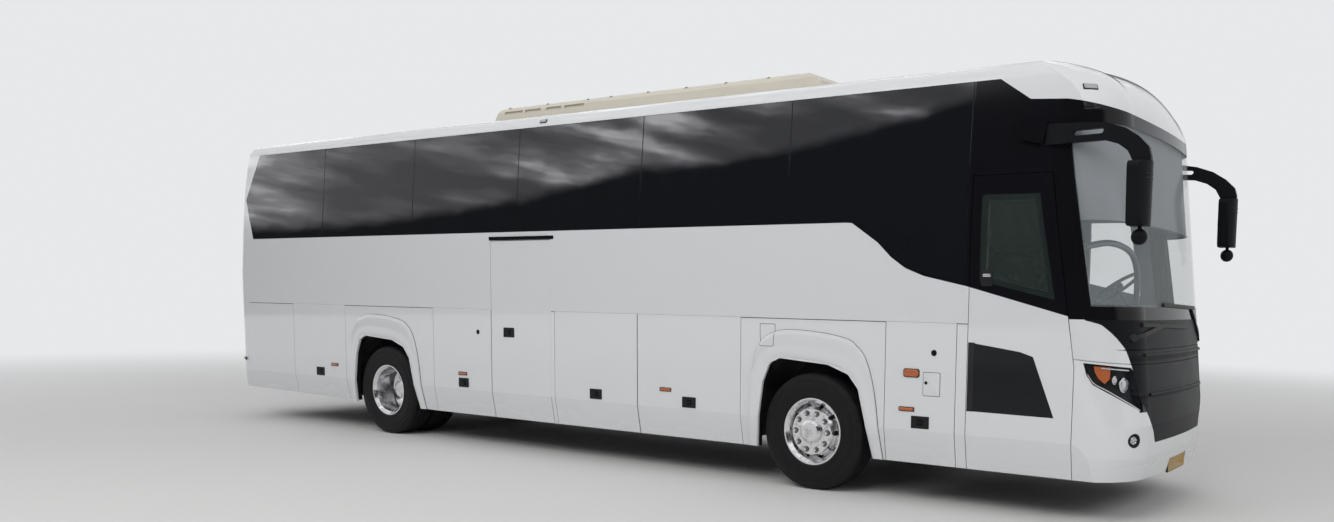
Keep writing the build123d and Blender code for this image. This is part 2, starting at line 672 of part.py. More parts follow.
edge_over_cowl = [(front_x(edge_at(DOOR_EDGE, COWL_Z)), COWL_Z)] + [(x, z) for x, z in door_edge if z > COWL_Z]
screen_edge = [(front_x(edge_at(DOOR_EDGE, z) + PILLAR), z) for z in (SCREEN_LOW_Z, DOOR_TOP_Z, WINDOW_TOP_Z)]
hole_edge = [(front_x(edge_at(DOOR_EDGE, z) + PILLAR + PANE_REBATE), z)
             for z in (SCREEN_LOW_Z + PANE_REBATE, DOOR_TOP_Z, HEADER_Z)]
with BuildPart() as windscreen:
    add(THIN_SKIN)
    add(side_region(screen_edge + [(NOSE_X, WINDOW_TOP_Z), (NOSE_X, SCREEN_LOW_Z)]), mode=Mode.INTERSECT)
    add(roof_cut, mode=Mode.SUBTRACT)
piece("windscreen", windscreen.part)
with BuildPart() as windscreen_frame:
    add(SKIN)
    add(side_region(edge_over_cowl + [(NOSE_X, HIGH), (NOSE_X, COWL_Z)]), mode=Mode.INTERSECT)
    add(roof_cut, mode=Mode.SUBTRACT)
    add(windscreen.part, mode=Mode.SUBTRACT)
    add(side_region(hole_edge + [(NOSE_X, HEADER_Z), (NOSE_X, SCREEN_LOW_Z + PANE_REBATE)]), mode=Mode.SUBTRACT)
piece("windscreen_frame", windscreen_frame.part)

# Wipers, lying on the glass and on the panel under it
with BuildPart() as wipers:
    for label, y0, z0, y1, z1, width in WIPERS:
        add(front_region(strip(y0, z0, y1, z1, width), front_x(PANEL_BACK), NOSE_X + BELOW))
        if label.endswith("arm"):
            with BuildSketch(Plane.YZ.offset(front_x(PANEL_BACK))):
                with Locations((y0, z0)):
                    Circle(WIPER_BOSS)
            extrude(amount=NOSE_X + BELOW - front_x(PANEL_BACK))
    add(LIP_SKIN, mode=Mode.INTERSECT)
    add(outer, mode=Mode.SUBTRACT)
piece("wipers", wipers.part)

# Back wall and engine door
side_gap, low_z, high_z = ENGINE_DOOR
half = HALF_WIDTH - side_gap
engine_outline = rectangle(-half, low_z, half, high_z)
ENGINE_HINGE_X = REAR_X + ENGINE_ROD_RADIUS
ENGINE_HINGE_Z = high_z - SLIP - ENGINE_ROD_RADIUS
engine_leaf = rectangle(-half, low_z, half, ENGINE_HINGE_Z + SEAM)
with BuildPart() as rear_wall:
    add(SKIN)
    add(side_region([(REAR_X - BELOW, LOW)] + REAR_SEAM + [(REAR_REACH, HIGH), (REAR_X - BELOW, HIGH)]),
        mode=Mode.INTERSECT)
    add(roof_cut, mode=Mode.SUBTRACT)
    add(dark_glass.part, mode=Mode.SUBTRACT)
    add(pane_openings.part, mode=Mode.SUBTRACT)
    add(lamps.part, mode=Mode.SUBTRACT)
    add(front_region(engine_outline, REAR_X - BELOW, REAR_SEAM_X), mode=Mode.SUBTRACT)
piece("rear_wall", rear_wall.part)
with BuildPart() as louvres:
    for row in range(LOUVRES):
        low_z = LOUVRE_FIRST_Z + row * LOUVRE_PITCH
        add(front_region(rectangle(-LOUVRE_HALF, low_z, LOUVRE_HALF, low_z + LOUVRE_HEIGHT), REAR_X - BELOW,
                         REAR_SEAM_X))
    add(THIN_SKIN, mode=Mode.INTERSECT)
with BuildPart() as engine_door:
    add(SKIN)
    add(front_region(engine_leaf, REAR_X - BELOW, REAR_SEAM_X, SEAM), mode=Mode.INTERSECT)
    with BuildSketch(Plane.XZ.offset(-ENGINE_HINGE_LENGTH / 2)):
        with Locations((ENGINE_HINGE_X, ENGINE_HINGE_Z)):
            Circle(ENGINE_ROD_RADIUS)
    extrude(amount=ENGINE_HINGE_LENGTH)
    add(louvres.part, mode=Mode.SUBTRACT)
piece("engine_door", engine_door.part)

# Wheels: each turns about a line across the coach at hub height
def tyre_profile(y):
    """Section of a tyre, half of its width each side of a place across the coach."""
    half = TYRE_WIDTH / 2
    with BuildSketch(Plane.YZ) as profile:
        with BuildLine():
            Polyline((y - half + 40, TYRE_RADIUS), (y + half - 40, TYRE_RADIUS),
                     (y + half - 8, TYRE_RADIUS - 25), (y + half, TYRE_RADIUS - 110),
                     (y + half - 14, RIM_RADIUS + SLIP),
                     (y - half + 14, RIM_RADIUS + SLIP), (y - half, TYRE_RADIUS - 110),
                     (y - half + 8, TYRE_RADIUS - 25), close=True)
        make_face()
    return profile.sketch


def spun(profile, axle_x):
    """A profile turned about the wheel's axle."""
    with BuildPart() as solid:
        revolve(profile, axis=Axis.Y)
    return solid.part.moved(Location((axle_x, 0, TYRE_RADIUS)))


def ring_profile(points):
    """A section given across the coach and out from the wheel's axle."""
    with BuildSketch(Plane.YZ) as profile:
        with BuildLine():
            Polyline(*points, close=True)
        make_face()
    return profile.sketch


def front_rim_profile():
    """Section of a front rim with its disc and hub, the hub open to the spindle."""
    half = TYRE_WIDTH / 2 - RIM_INSET
    low = FRONT_WHEEL_Y - half
    high = FRONT_WHEEL_Y + half
    inside = RIM_RADIUS - RIM_DEPTH
    bore = SPINDLE_RADIUS + RUNNING_FIT
    cap = FRONT_DISC_Y + FRONT_HUB_REACH
    face = FRONT_DISC_Y + DISC
    return ring_profile([(low, RIM_RADIUS), (high, RIM_RADIUS), (high, RIM_RADIUS - FLANGE),
                         (high - 2 * FLANGE, inside), (face - CONE_DEPTH, inside), (face, CONE_RADIUS),
                         (face, HUB_RADIUS), (cap - HUB_ROUND, HUB_RADIUS), (cap, HUB_CROWN), (cap, 0),
                         (FRONT_DISC_Y, 0), (FRONT_DISC_Y, bore), (FRONT_HUB_Y, bore), (FRONT_HUB_Y, HUB_RADIUS),
                         (FRONT_DISC_Y, HUB_RADIUS), (FRONT_DISC_Y, CONE_RADIUS - DISC),
                         (FRONT_DISC_Y - CONE_DEPTH, inside - DISC), (low, inside - DISC)])


def rear_rim_profile():
    """Section of a pair of rear rims back to back on one hub, open to the axle's tube."""
    half = TYRE_WIDTH / 2 - RIM_INSET
    inside = RIM_RADIUS - RIM_DEPTH
    bore = REAR_TUBE_RADIUS + RUNNING_FIT
    cap = REAR_DISC_Y + REAR_HUB_REACH
    groove = RIM_RADIUS - RIM_DEPTH / 2
    side = [(REAR_WHEEL_Y + half, RIM_RADIUS), (REAR_WHEEL_Y + half, RIM_RADIUS - FLANGE),
            (REAR_WHEEL_Y + half - 2 * FLANGE, inside),
            (REAR_WHEEL_Y - half + DISC, inside), (REAR_DISC_Y + DISC, DISH_RADIUS),
            (REAR_DISC_Y + DISC, HUB_RADIUS)]
    twin = [(2 * REAR_DISC_Y - y, r) for y, r in reversed(side)]
    hub = [(cap - HUB_ROUND, HUB_RADIUS), (cap, HUB_CROWN), (cap, 0), (REAR_DISC_Y, 0), (REAR_DISC_Y, bore),
           (REAR_HUB_Y, bore), (REAR_HUB_Y, HUB_RADIUS)]
    low = REAR_WHEEL_Y - half
    trough = [(2 * REAR_DISC_Y - low, RIM_RADIUS), (2 * REAR_DISC_Y - low, groove), (low, groove),
              (low, RIM_RADIUS)]
    return ring_profile(side + hub + twin + trough)


def holes_and_studs(axle_x, disc_y):
    """Hand holes to cut from a wheel's disc, and the studs that stand out of it."""
    face = Plane(origin=(axle_x, disc_y, TYRE_RADIUS), x_dir=(1, 0, 0), z_dir=(0, 1, 0))
    with BuildPart() as holes:
        with BuildSketch(face.offset(-CONE_DEPTH - DISC)):
            with PolarLocations(HAND_HOLE_CIRCLE, HAND_HOLES):
                Circle(HAND_HOLE_RADIUS)
        extrude(amount=CONE_DEPTH + 3 * DISC)
    with BuildPart() as studs:
        with BuildSketch(face):
            with PolarLocations(STUD_CIRCLE, STUDS):
                Circle(STUD_RADIUS)
        extrude(amount=DISC + STUD_LENGTH)
    return holes.part, studs.part


PLATE_Y = KINGPIN_Y + EYE_RADIUS + SEAM
FRONT_HUB_Y = PLATE_Y + KNUCKLE_PLATE + SEAM
FRONT_DISC_Y = FRONT_WHEEL_Y + DISC_OFFSET
REAR_DISC_Y = REAR_WHEEL_Y - TWIN_SPACING / 2
REAR_HUB_Y = REAR_DISC_Y - REAR_HUB_DEPTH
INNER_WHEEL_Y = REAR_WHEEL_Y - TWIN_SPACING
EYE_LOW = TYRE_RADIUS - EYE_HEIGHT / 2
EYE_HIGH = TYRE_RADIUS + EYE_HEIGHT / 2
wheel_parts = {
    "tyre_front": ([tyre_profile(FRONT_WHEEL_Y)], FRONT_AXLE_X, None),
    "tyres_rear": ([tyre_profile(REAR_WHEEL_Y), tyre_profile(INNER_WHEEL_Y)], REAR_AXLE_X, None),
    "rim_front": ([front_rim_profile()], FRONT_AXLE_X, FRONT_DISC_Y),
    "rims_rear": ([rear_rim_profile()], REAR_AXLE_X, REAR_DISC_Y),
}
for name, (profiles, axle_x, disc_y) in wheel_parts.items():
    for side_name, sign in (("right", -1), ("left", 1)):
        with BuildPart() as wheel_part:
            for profile in profiles:
                add(spun(profile, axle_x))
            if disc_y:
                holes, studs = holes_and_studs(axle_x, disc_y)
                add(holes, mode=Mode.SUBTRACT)
                add(studs)
            if sign < 0:
                mirror(about=Plane.XZ, mode=Mode.REPLACE)
        piece(name + "_" + side_name, wheel_part.part)

# Wheel arch liners, open towards the middle of the coach
with BuildPart() as wheel_liners:
    for axle_x, inner_y in ((REAR_AXLE_X, REAR_LINER_Y), (FRONT_AXLE_X, FRONT_LINER_Y)):
        with BuildSketch(Plane.XZ.offset(-HALF_WIDTH)):
            with Locations((axle_x, TYRE_RADIUS)):
                Circle(LINER_RADIUS + LINER_WALL)
                Circle(LINER_RADIUS, mode=Mode.SUBTRACT)
        extrude(amount=HALF_WIDTH - inner_y)
    mirror(about=Plane.XZ)
    add(section_prism(WALL + SLIP, LINER_LOW_Z), mode=Mode.INTERSECT)
piece("wheel_liners", wheel_liners.part)

# Steering knuckles: yoke, kingpin, plate and spindle
for side_name, sign in (("right", -1), ("left", 1)):
    with BuildPart() as knuckle:
        yoke_reach = PLATE_Y + KNUCKLE_PLATE - KINGPIN_Y
        for low in (EYE_HIGH + SEAM, EYE_LOW - SEAM - YOKE_HEIGHT):
            with BuildSketch(Plane.XY.offset(low)):
                with Locations((FRONT_AXLE_X, KINGPIN_Y)):
                    Circle(YOKE_RADIUS)
                with Locations((FRONT_AXLE_X, KINGPIN_Y + yoke_reach / 2)):
                    Rectangle(2 * YOKE_RADIUS, yoke_reach)
            extrude(amount=YOKE_HEIGHT)
        with BuildSketch(Plane.XY.offset(EYE_LOW - SEAM)):
            with Locations((FRONT_AXLE_X, KINGPIN_Y)):
                Circle(KINGPIN_RADIUS)
            with Locations((FRONT_AXLE_X, PLATE_Y + KNUCKLE_PLATE / 2)):
                Rectangle(2 * YOKE_RADIUS, KNUCKLE_PLATE)
        extrude(amount=EYE_HEIGHT + 2 * SEAM)
        with BuildSketch(Plane.XZ.offset(-PLATE_Y)):
            with Locations((FRONT_AXLE_X, TYRE_RADIUS)):
                Circle(SPINDLE_RADIUS)
        extrude(amount=-(FRONT_DISC_Y - SEAM - PLATE_Y))
        if sign < 0:
            mirror(about=Plane.XZ, mode=Mode.REPLACE)
    piece("knuckle_" + side_name, knuckle.part)

# Front beam with its kingpin eyes, and the rear axle
with BuildPart() as axles:
    kingpins = ((FRONT_AXLE_X, KINGPIN_Y), (FRONT_AXLE_X, -KINGPIN_Y))
    with BuildSketch(Plane.XY.offset(EYE_LOW)):
        with Locations(*kingpins):
            Circle(EYE_RADIUS)
    extrude(amount=EYE_HEIGHT)
    with BuildSketch(Plane.XY.offset(EYE_LOW)):
        with Locations((FRONT_AXLE_X, 0)):
            Rectangle(BEAM_WIDTH, 2 * KINGPIN_Y - EYE_RADIUS)
    extrude(amount=BEAM_HEIGHT)
    with BuildSketch(Plane.XY.offset(EYE_LOW)):
        with Locations(*kingpins):
            Circle(KINGPIN_RADIUS + RUNNING_FIT)
    extrude(amount=EYE_HEIGHT, mode=Mode.SUBTRACT)
    with BuildSketch(Plane.XZ.offset(-(REAR_DISC_Y - SEAM))):
        with Locations((REAR_AXLE_X, TYRE_RADIUS)):
            Circle(REAR_TUBE_RADIUS)
    extrude(amount=2 * (REAR_DISC_Y - SEAM))
    with Locations((REAR_AXLE_X, 0, TYRE_RADIUS)):
        Sphere(DIFFERENTIAL_RADIUS)
    for axle_x, low in ((FRONT_AXLE_X, EYE_LOW + BEAM_HEIGHT), (REAR_AXLE_X, TYRE_RADIUS)):
        with BuildSketch(Plane.XY.offset(low)):
            with Locations((axle_x, RAIL_Y), (axle_x, -RAIL_Y)):
                Circle(PAD_RADIUS)
        extrude(amount=RAIL_Z - low)
piece("axles", axles.part)

# Frame: rails over the axles, the luggage bay's floor between them, and its end walls
bay_rear = rear_x(REAR_ARCH[1]) + SEAM
bay_front = front_x(LUGGAGE_FRONT) - SEAM
deck_low = FLOOR_Z - FLOOR_THICKNESS
RAIL_REAR_X = REAR_SEAM_X + SIDE_GAP
RAIL_FRONT_X = front_x(WELL_REAR) - BULKHEAD
deck_half = HALF_WIDTH - WALL - SIDE_GAP
with BuildPart() as chassis:
    with BuildSketch(Plane.XY.offset(BAY_Z)):
        with Locations(((bay_rear + bay_front) / 2, 0)):
            Rectangle(bay_front - bay_rear, 2 * (half_width(BAY_Z, WALL) - SIDE_GAP))
    extrude(amount=BAY_SHEET)
    for x in (bay_rear, bay_front - BULKHEAD):
        with BuildSketch(Plane.YZ.offset(x)):
            with BuildLine():
                low_half = half_width(BAY_Z, WALL) - SIDE_GAP
                Polyline((-low_half, BAY_Z), (low_half, BAY_Z), (deck_half, TUCK_TOP_Z), (deck_half, deck_low),
                         (-deck_half, deck_low), (-deck_half, TUCK_TOP_Z), close=True)
            make_face()
        extrude(amount=BULKHEAD)
    for rear, front in ((RAIL_REAR_X, bay_rear), (bay_front, RAIL_FRONT_X)):
        with BuildSketch(Plane.XY.offset(RAIL_Z)):
            with Locations(((rear + front) / 2, RAIL_Y), ((rear + front) / 2, -RAIL_Y)):
                Rectangle(front - rear, RAIL_WIDTH)
        extrude(amount=RAIL_HEIGHT)
    for x in (RAIL_REAR_X + RAIL_WIDTH, RAIL_FRONT_X - RAIL_WIDTH):
        with BuildSketch(Plane.XY.offset(RAIL_Z)):
            with Locations((x, 0)):
                Rectangle(RAIL_WIDTH, 2 * RAIL_Y)
        extrude(amount=RAIL_HEIGHT)
piece("chassis", chassis.part)

# Engine, one block standing on the rails
with BuildPart() as engine:
    with BuildSketch(Plane.XY.offset(RAIL_Z + RAIL_HEIGHT)):
        with Locations((RAIL_REAR_X + ENGINE_LENGTH / 2, 0)):
            Rectangle(ENGINE_LENGTH, 2 * RAIL_Y + RAIL_WIDTH)
    extrude(amount=ENGINE_HEIGHT)
piece("engine", engine.part)

# Floor: cabin deck, driver's platform, entrance well with its steps
WELL_X = front_x(WELL_REAR)
PLATFORM_FRONT_X = door_edge[0][0]
with BuildPart() as floor:
    with BuildSketch(Plane.XY.offset(deck_low)):
        with Locations(((REAR_SEAM_X + WELL_X) / 2, 0)):
            Rectangle(WELL_X - REAR_SEAM_X, 2 * deck_half)
        for rear, front in arches:
            with Locations(((rear + front) / 2, 0)):
                Rectangle(front - rear, 2 * (HALF_WIDTH - WALL - SLIP))
    extrude(amount=FLOOR_THICKNESS)
    with BuildSketch(Plane.YZ.offset(WELL_X - BULKHEAD)):
        with Locations((0, (RAIL_Z + RAIL_HEIGHT + FLOOR_Z) / 2)):
            Rectangle(2 * deck_half, FLOOR_Z - RAIL_Z - RAIL_HEIGHT)
        with BuildLine():
            Polyline((-WELL_Y, FLOOR_Z), (-WELL_Y, STEP_LOW_Z),
                     (SIDE_GAP - half_width(STEP_LOW_Z, WALL), STEP_LOW_Z),
                     (-deck_half, TUCK_TOP_Z), (-deck_half, FLOOR_Z), close=True)
        make_face()
    extrude(amount=BULKHEAD)
    with BuildSketch(Plane.XY.offset(PLATFORM_Z - BAY_SHEET)):
        with Locations(((WELL_X - BULKHEAD + PLATFORM_FRONT_X) / 2, (deck_half - WELL_Y) / 2)):
            Rectangle(PLATFORM_FRONT_X - WELL_X + BULKHEAD, deck_half + WELL_Y)
    extrude(amount=BAY_SHEET)
piece("floor", floor.part)
rise = (PLATFORM_Z - STEP_LOW_Z) / STEPS
tread = (deck_half - WELL_Y) / STEPS
stair = []
for step in range(STEPS):
    stair += [(-deck_half + step * tread, STEP_LOW_Z + step * rise),
              (-deck_half + (step + 1) * tread, STEP_LOW_Z + step * rise)]
stair[0] = (SIDE_GAP - half_width(STEP_LOW_Z, WALL), STEP_LOW_Z)
under = [(y + BAY_SHEET, z - BAY_SHEET) for y, z in stair]
stair_end = [(-WELL_Y, PLATFORM_Z - BAY_SHEET), (BAY_SHEET - WELL_Y, PLATFORM_Z - BAY_SHEET)]
with BuildPart() as entrance_steps:
    with BuildSketch(Plane.YZ.offset(WELL_X)):
        with BuildLine():
            Polyline(*stair, *stair_end, *under[:0:-1], (stair[0][0], STEP_LOW_Z - BAY_SHEET), close=True)
        make_face()
    extrude(amount=PLATFORM_FRONT_X - WELL_X)
piece("entrance_steps", entrance_steps.part)

# Seats
def seat_solid(x, y, z, width):
    """One seat, or a joined pair, with its back towards the rear."""
    with BuildPart() as seat:
        with BuildSketch(Plane.XZ.offset(-y - width / 2)):
            with BuildLine():
                Polyline(*[(x + along, z + up) for along, up in SEAT_PROFILE], close=True)
            make_face()
        extrude(amount=width)
    return seat.part


pair_width = 2 * SEAT_WIDTH - SIDE_GAP
pair_y = HALF_WIDTH - WALL - SEAT_GAP - pair_width / 2
with BuildPart() as seats:
    for row in range(ROWS):
        for sign in (-1, 1):
            add(seat_solid(front_x(FIRST_ROW - row * ROW_PITCH), sign * pair_y, FLOOR_Z, pair_width))
    add(seat_solid(front_x(DRIVER_X), DRIVER_Y, PLATFORM_Z, SEAT_WIDTH))
piece("seats", seats.part)

# Dashboard with the steering wheel on its column
wheel_centre = (front_x(DRIVER_X) + WHEEL_AHEAD, DRIVER_Y, PLATFORM_Z + WHEEL_UP)
with BuildPart() as dashboard:
    for points, low_y, high_y in ((DASH_PROFILE, -WELL_Y, DASH_HALF), (COWL_PROFILE, -DASH_HALF, -WELL_Y)):
        with BuildSketch(Plane.XZ.offset(-high_y)):
            with BuildLine():
                Polyline(*[(front_x(x), z) for x, z in points], close=True)
            make_face()
        extrude(amount=high_y - low_y)
    wheel_plane = Plane(origin=wheel_centre, x_dir=(0, 1, 0),
                        z_dir=(-sin(radians(WHEEL_RAKE)), 0, cos(radians(WHEEL_RAKE))))
    with Locations(wheel_plane):
        Torus(WHEEL_RING, WHEEL_GRIP)
        Cylinder(WHEEL_GRIP, COLUMN_LENGTH, align=(Align.CENTER, Align.CENTER, Align.MAX))
        Box(2 * WHEEL_RING, 2 * WHEEL_GRIP, WHEEL_GRIP)
        Cylinder(4 * WHEEL_GRIP, 2 * WHEEL_GRIP)
piece("dashboard", dashboard.part)

# Cooling unit on the roof
pod_section = [(POD_HALF - gap, z) for gap, z in POD_SECTION]
pod_section += [(gap - POD_HALF, z) for gap, z in reversed(POD_SECTION)]
pod_section.insert(len(POD_SECTION), (0, POD_TOP_Z))
with BuildPart() as pod_slots:
    for rear, front in POD_SLOTS:
        for sign in (-1, 1):
            outward = sorted((sign * (POD_HALF - POD_SLOT_DEPTH), sign * (POD_HALF + BELOW)))
            add(side_region(rectangle(front_x(rear), POD_SLOT_Z[0], front_x(front), POD_SLOT_Z[1]), 0, outward))
with BuildPart() as roof_unit:
    add(side_region([(front_x(x), z) for x, z in POD_PROFILE], 0, (-POD_HALF, POD_HALF)))
    add(front_region(pod_section, front_x(POD_PROFILE[0][0]), front_x(POD_PROFILE[-1][0])), mode=Mode.INTERSECT)
    add(outer, mode=Mode.SUBTRACT)
    add(pod_slots.part, mode=Mode.SUBTRACT)
piece("roof_unit", roof_unit.part)

# Mirrors: arm, head and small round mirror on each side
with BuildPart() as mirrors:
    depth, upper_width, lower_width, height = MIRROR_HEAD
    head_x = front_x(MIRROR_REACH) - depth
    head_low = MIRROR_HEAD_Z - height / 2
    head_high = MIRROR_HEAD_Z + height / 2
    root = (front_x(MIRROR_ARM[0][0]), half_width(MIRROR_ROOT_Z, WALL))
    arm_end = (front_x(MIRROR_REACH), MIRROR_Y)
    with BuildSketch(Plane.XY.offset(LOW)):
        with BuildLine():
            Polyline(*strip(*root, *arm_end, 2 * MIRROR_ARM_HALF), close=True)
        make_face()
    extrude(amount=HIGH - LOW)
    add(side_region([(front_x(x), z) for x, z in MIRROR_ARM], 0, span(1)), mode=Mode.INTERSECT)
    add(side_region([(front_x(x), z) for x, z in MIRROR_SLOT], 0, span(1)), mode=Mode.SUBTRACT)
    add(outer, mode=Mode.SUBTRACT)
    with BuildPart() as head:
        with BuildSketch(Plane.YZ.offset(head_x)):
            with BuildLine():
                FilletPolyline((MIRROR_Y - lower_width / 2, head_low), (MIRROR_Y + lower_width / 2, head_low),
                               (MIRROR_Y + upper_width / 2, head_high), (MIRROR_Y - upper_width / 2, head_high),
                               radius=MIRROR_ROUND, close=True)
            make_face()
        extrude(amount=depth)
        with BuildSketch(Plane.XY.offset(head_low)):
            with BuildLine():
                edge_x = head_x + depth / 2
                Polyline((edge_x, MIRROR_Y + upper_width / 2), (head_x, MIRROR_Y + upper_width / 2),
                         (head_x, MIRROR_Y - upper_width / 2), (edge_x, MIRROR_Y - upper_width / 2))
                ThreePointArc((edge_x, MIRROR_Y - upper_width / 2), (head_x + depth, MIRROR_Y),
                              (edge_x, MIRROR_Y + upper_width / 2))
            make_face()
        extrude(amount=height, mode=Mode.INTERSECT)
    with Locations((head_x + depth / 2, MIRROR_Y, MIRROR_BALL_Z)):
        Sphere(MIRROR_BALL_RADIUS)
    with BuildSketch(Plane.XY.offset(MIRROR_BALL_Z)):
        with Locations((head_x + depth / 2, MIRROR_Y)):
            Circle(MIRROR_STEM)
    extrude(amount=MIRROR_HEAD_Z - MIRROR_BALL_Z)
    mirror(about=Plane.XZ)
piece("mirrors", mirrors.part)

# Entrance door's turning post with its two arms
with BuildPart() as door_arms:
    with BuildSketch(Plane.XY.offset(STEP_LOW_Z + SLIP)):
        with Locations((pivot_x, -ARM_Y)):
            Circle(POST_RADIUS)
    extrude(amount=ARM_LEVELS[1] + ARM_HEIGHT - STEP_LOW_Z)
    for level in ARM_LEVELS:
        with BuildSketch(Plane.XY.offset(level)):
            with Locations(Location(((pivot_x + eye_x) / 2, (eye_y - ARM_Y) / 2), -ARM_SLANT)):
                Rectangle(ARM_LENGTH, ARM_THICKNESS)
            with Locations((eye_x, eye_y)):
                Circle(PIN_RADIUS + ARM_THICKNESS / 2)
                Circle(PIN_RADIUS + RUNNING_FIT, mode=Mode.SUBTRACT)
        extrude(amount=ARM_HEIGHT)
piece("door_arms", door_arms.part)
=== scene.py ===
"""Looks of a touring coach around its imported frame, laid out as a Blender add-on and run as a script."""
import json
import math

import bmesh
import bpy
from mathutils import Matrix, Vector
from mathutils.bvhtree import BVHTree
from mathutils.geometry import delaunay_2d_cdt

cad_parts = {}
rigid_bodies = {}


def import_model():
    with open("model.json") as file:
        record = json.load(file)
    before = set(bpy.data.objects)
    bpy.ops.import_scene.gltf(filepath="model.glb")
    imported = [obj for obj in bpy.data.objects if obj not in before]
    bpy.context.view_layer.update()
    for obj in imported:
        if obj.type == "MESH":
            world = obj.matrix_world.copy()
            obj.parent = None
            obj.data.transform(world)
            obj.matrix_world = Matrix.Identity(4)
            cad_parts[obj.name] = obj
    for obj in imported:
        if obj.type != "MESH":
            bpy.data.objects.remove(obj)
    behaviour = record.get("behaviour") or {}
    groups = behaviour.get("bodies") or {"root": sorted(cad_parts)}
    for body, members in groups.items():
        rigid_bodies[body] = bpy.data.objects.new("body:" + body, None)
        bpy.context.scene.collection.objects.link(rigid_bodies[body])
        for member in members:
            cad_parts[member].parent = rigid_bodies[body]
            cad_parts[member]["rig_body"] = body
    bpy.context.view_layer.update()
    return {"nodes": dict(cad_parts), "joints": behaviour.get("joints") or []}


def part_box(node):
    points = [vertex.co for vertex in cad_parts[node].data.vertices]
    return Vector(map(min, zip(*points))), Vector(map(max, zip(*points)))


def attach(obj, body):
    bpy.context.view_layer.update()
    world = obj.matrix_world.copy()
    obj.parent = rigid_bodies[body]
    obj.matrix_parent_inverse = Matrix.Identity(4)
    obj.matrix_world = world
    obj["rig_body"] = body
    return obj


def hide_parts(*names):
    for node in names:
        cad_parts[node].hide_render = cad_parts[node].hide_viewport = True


bl_info = {
    "name": "Touring Coach",
    "version": (1, 0, 0),
    "blender": (4, 5, 0),
    "location": "3D View > Sidebar > Coach",
    "description": "Paint, glass, wheels, front, fittings, cabin and studio of a touring coach",
    "category": "Object",
}

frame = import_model()
NODES = frame["nodes"]
JOINTS = {joint["name"]: joint for joint in frame["joints"]}
SIDES = (("right", -1), ("left", 1))
FRONT_HUB = Vector(JOINTS["roll_front_right"]["pos_m"])
REAR_HUB = Vector(JOINTS["roll_rear_right"]["pos_m"])
IMAGE_WIDTH, IMAGE_HEIGHT = 1334, 522

# Lines of the black areas on the sides: ahead of the front axle and height; the rear one by height first
SILL = [(0.33, 2.336), (0.42, 2.331), (0.49, 2.31), (0.56, 2.262), (0.64, 2.18), (0.785, 2.045),
        (0.92, 1.955), (1.095, 1.89), (1.48, 1.81), (2.33, 1.59)]
CHEVRON = [(2.335, -8.75), (2.85, -8.96), (3.415, -8.67)]
WINDOW_TOP = 3.415

# Half width of the sides by height, how deep and up to what height painted shade darkens a seam, how deep a
# wall turns grey, and where the flat sides end
HALF_WIDTHS = [(0.34, 1.225), (0.62, 1.275), (2.335, 1.275), (3.415, 1.19)]
SEAM_DEPTH = 0.009
SEAM_TOP = 3.2
LINING_DEPTH = 0.035
SIDE_ENDS = (-8.92, 2.34)

# Black strip behind the door's lower pane: ends ahead of the front axle, and heights
PANE_SURROUND = (1.509, 1.567, 0.813, 1.366)

# Height between the entrance's two panes
PANE_SPLIT = 1.5

# Lining of the roof: top, half width, and ends ahead of the front axle
ROOF_LINING = (3.53, 1.0, -8.7, 2.0)

# Slit between headlamp and grille: from where along the view from 45 degrees, and heights
HEADLAMP_SLIT = (1.3, 0.869, 1.1)

# The front's two ribs: height and half width of each, how far forward they start, and half their length
FRONT_RIBS = [(1.30, 0.045), (1.0, 0.03)]
RIBS_FROM = 5.5
RIBS_HALF_LENGTH = 1.1

# Wheel arches, from each axle: outer and inner edge of the lip, and the lip's section from one to the other
ARCH_LIP = [(-0.685, 0.343), (-0.64, 0.98), (-0.555, 1.27), (-0.37, 1.395), (-0.06, 1.412), (0.32, 1.368),
            (0.47, 1.3), (0.58, 1.16), (0.665, 0.85), (0.726, 0.343)]
ARCH_OPENING = [(-0.59, 0.343), (-0.505, 0.94), (-0.43, 1.11), (-0.32, 1.16), (0.19, 1.125), (0.4, 1.05),
                (0.5, 0.93), (0.575, 0.64), (0.631, 0.343)]
ARCH_STEPS = 72
LIP_SECTION = [(0.0, -0.012), (0.0, 0.006), (0.05, 0.0145), (0.14, 0.0195), (0.4, 0.026), (0.72, 0.0265),
               (0.88, 0.023), (0.97, 0.0165), (1.0, 0.006), (1.0, -0.012)]

# Foot of the side windows, and the seals between them, ahead of the front axle; width and height of a seal
BELT = 2.335
PANE_SEALS = [-7.225 + 1.737 * pane for pane in range(6)]
PANE_SEAL_SIZE = (0.009, 1.07)

# Width, foot and top of the thin skin over the corner of the first luggage flap
FLAP_CORNER = (0.16, 0.343, 0.74)

# Dark strips of painted shade over the seams of the fixed panels; a shorter gap than the least gets none
SEAM_Z = 1.511
SEAM_WIDTH = 0.006
SEAM_LEAST = 0.05

# Gutter over the middle door: ends ahead of the front axle and heights
GUTTER = (-4.17, -3.18, 2.252, 2.29)

# Side edge of the windscreen's clear area by height, and its lower and upper edges
SCREEN_EDGE = [(1.64, 2.49), (2.68, 2.32), (3.4, 2.2)]
SCREEN_LOW = 1.67
SCREEN_HIGH = 3.03

# Heights between the colours of the tail lamps
TAIL_WHITE = 0.99
TAIL_RED = 1.32

# The door side's locks, then what both sides carry: ahead of the front axle, height
LOCKS = [(-7.33, 0.684), (-4.615, 0.695), (-3.869, 1.274), (-2.59, 0.694), (-1.372, 0.69), (1.095, 0.69)]
SIDE_MARKERS = [(-9.057, 0.769), (-7.03, 0.78), (-4.63, 0.794), (-1.666, 0.796), (0.966, 0.793)]
CAPS = [(-4.367, 1.264), (1.207, 1.268)]
ROOF_LAMP = (-3.42, 3.468)
SIDE_INDICATOR = (1.005, 1.095)

# Only on the door side: the filler's flap, its catch and the door's handle
FILLER_FLAP = (1.192, 1.01)
FILLER_CATCH = (1.142, 1.02)
DOOR_HANDLE = (1.655, 1.877)

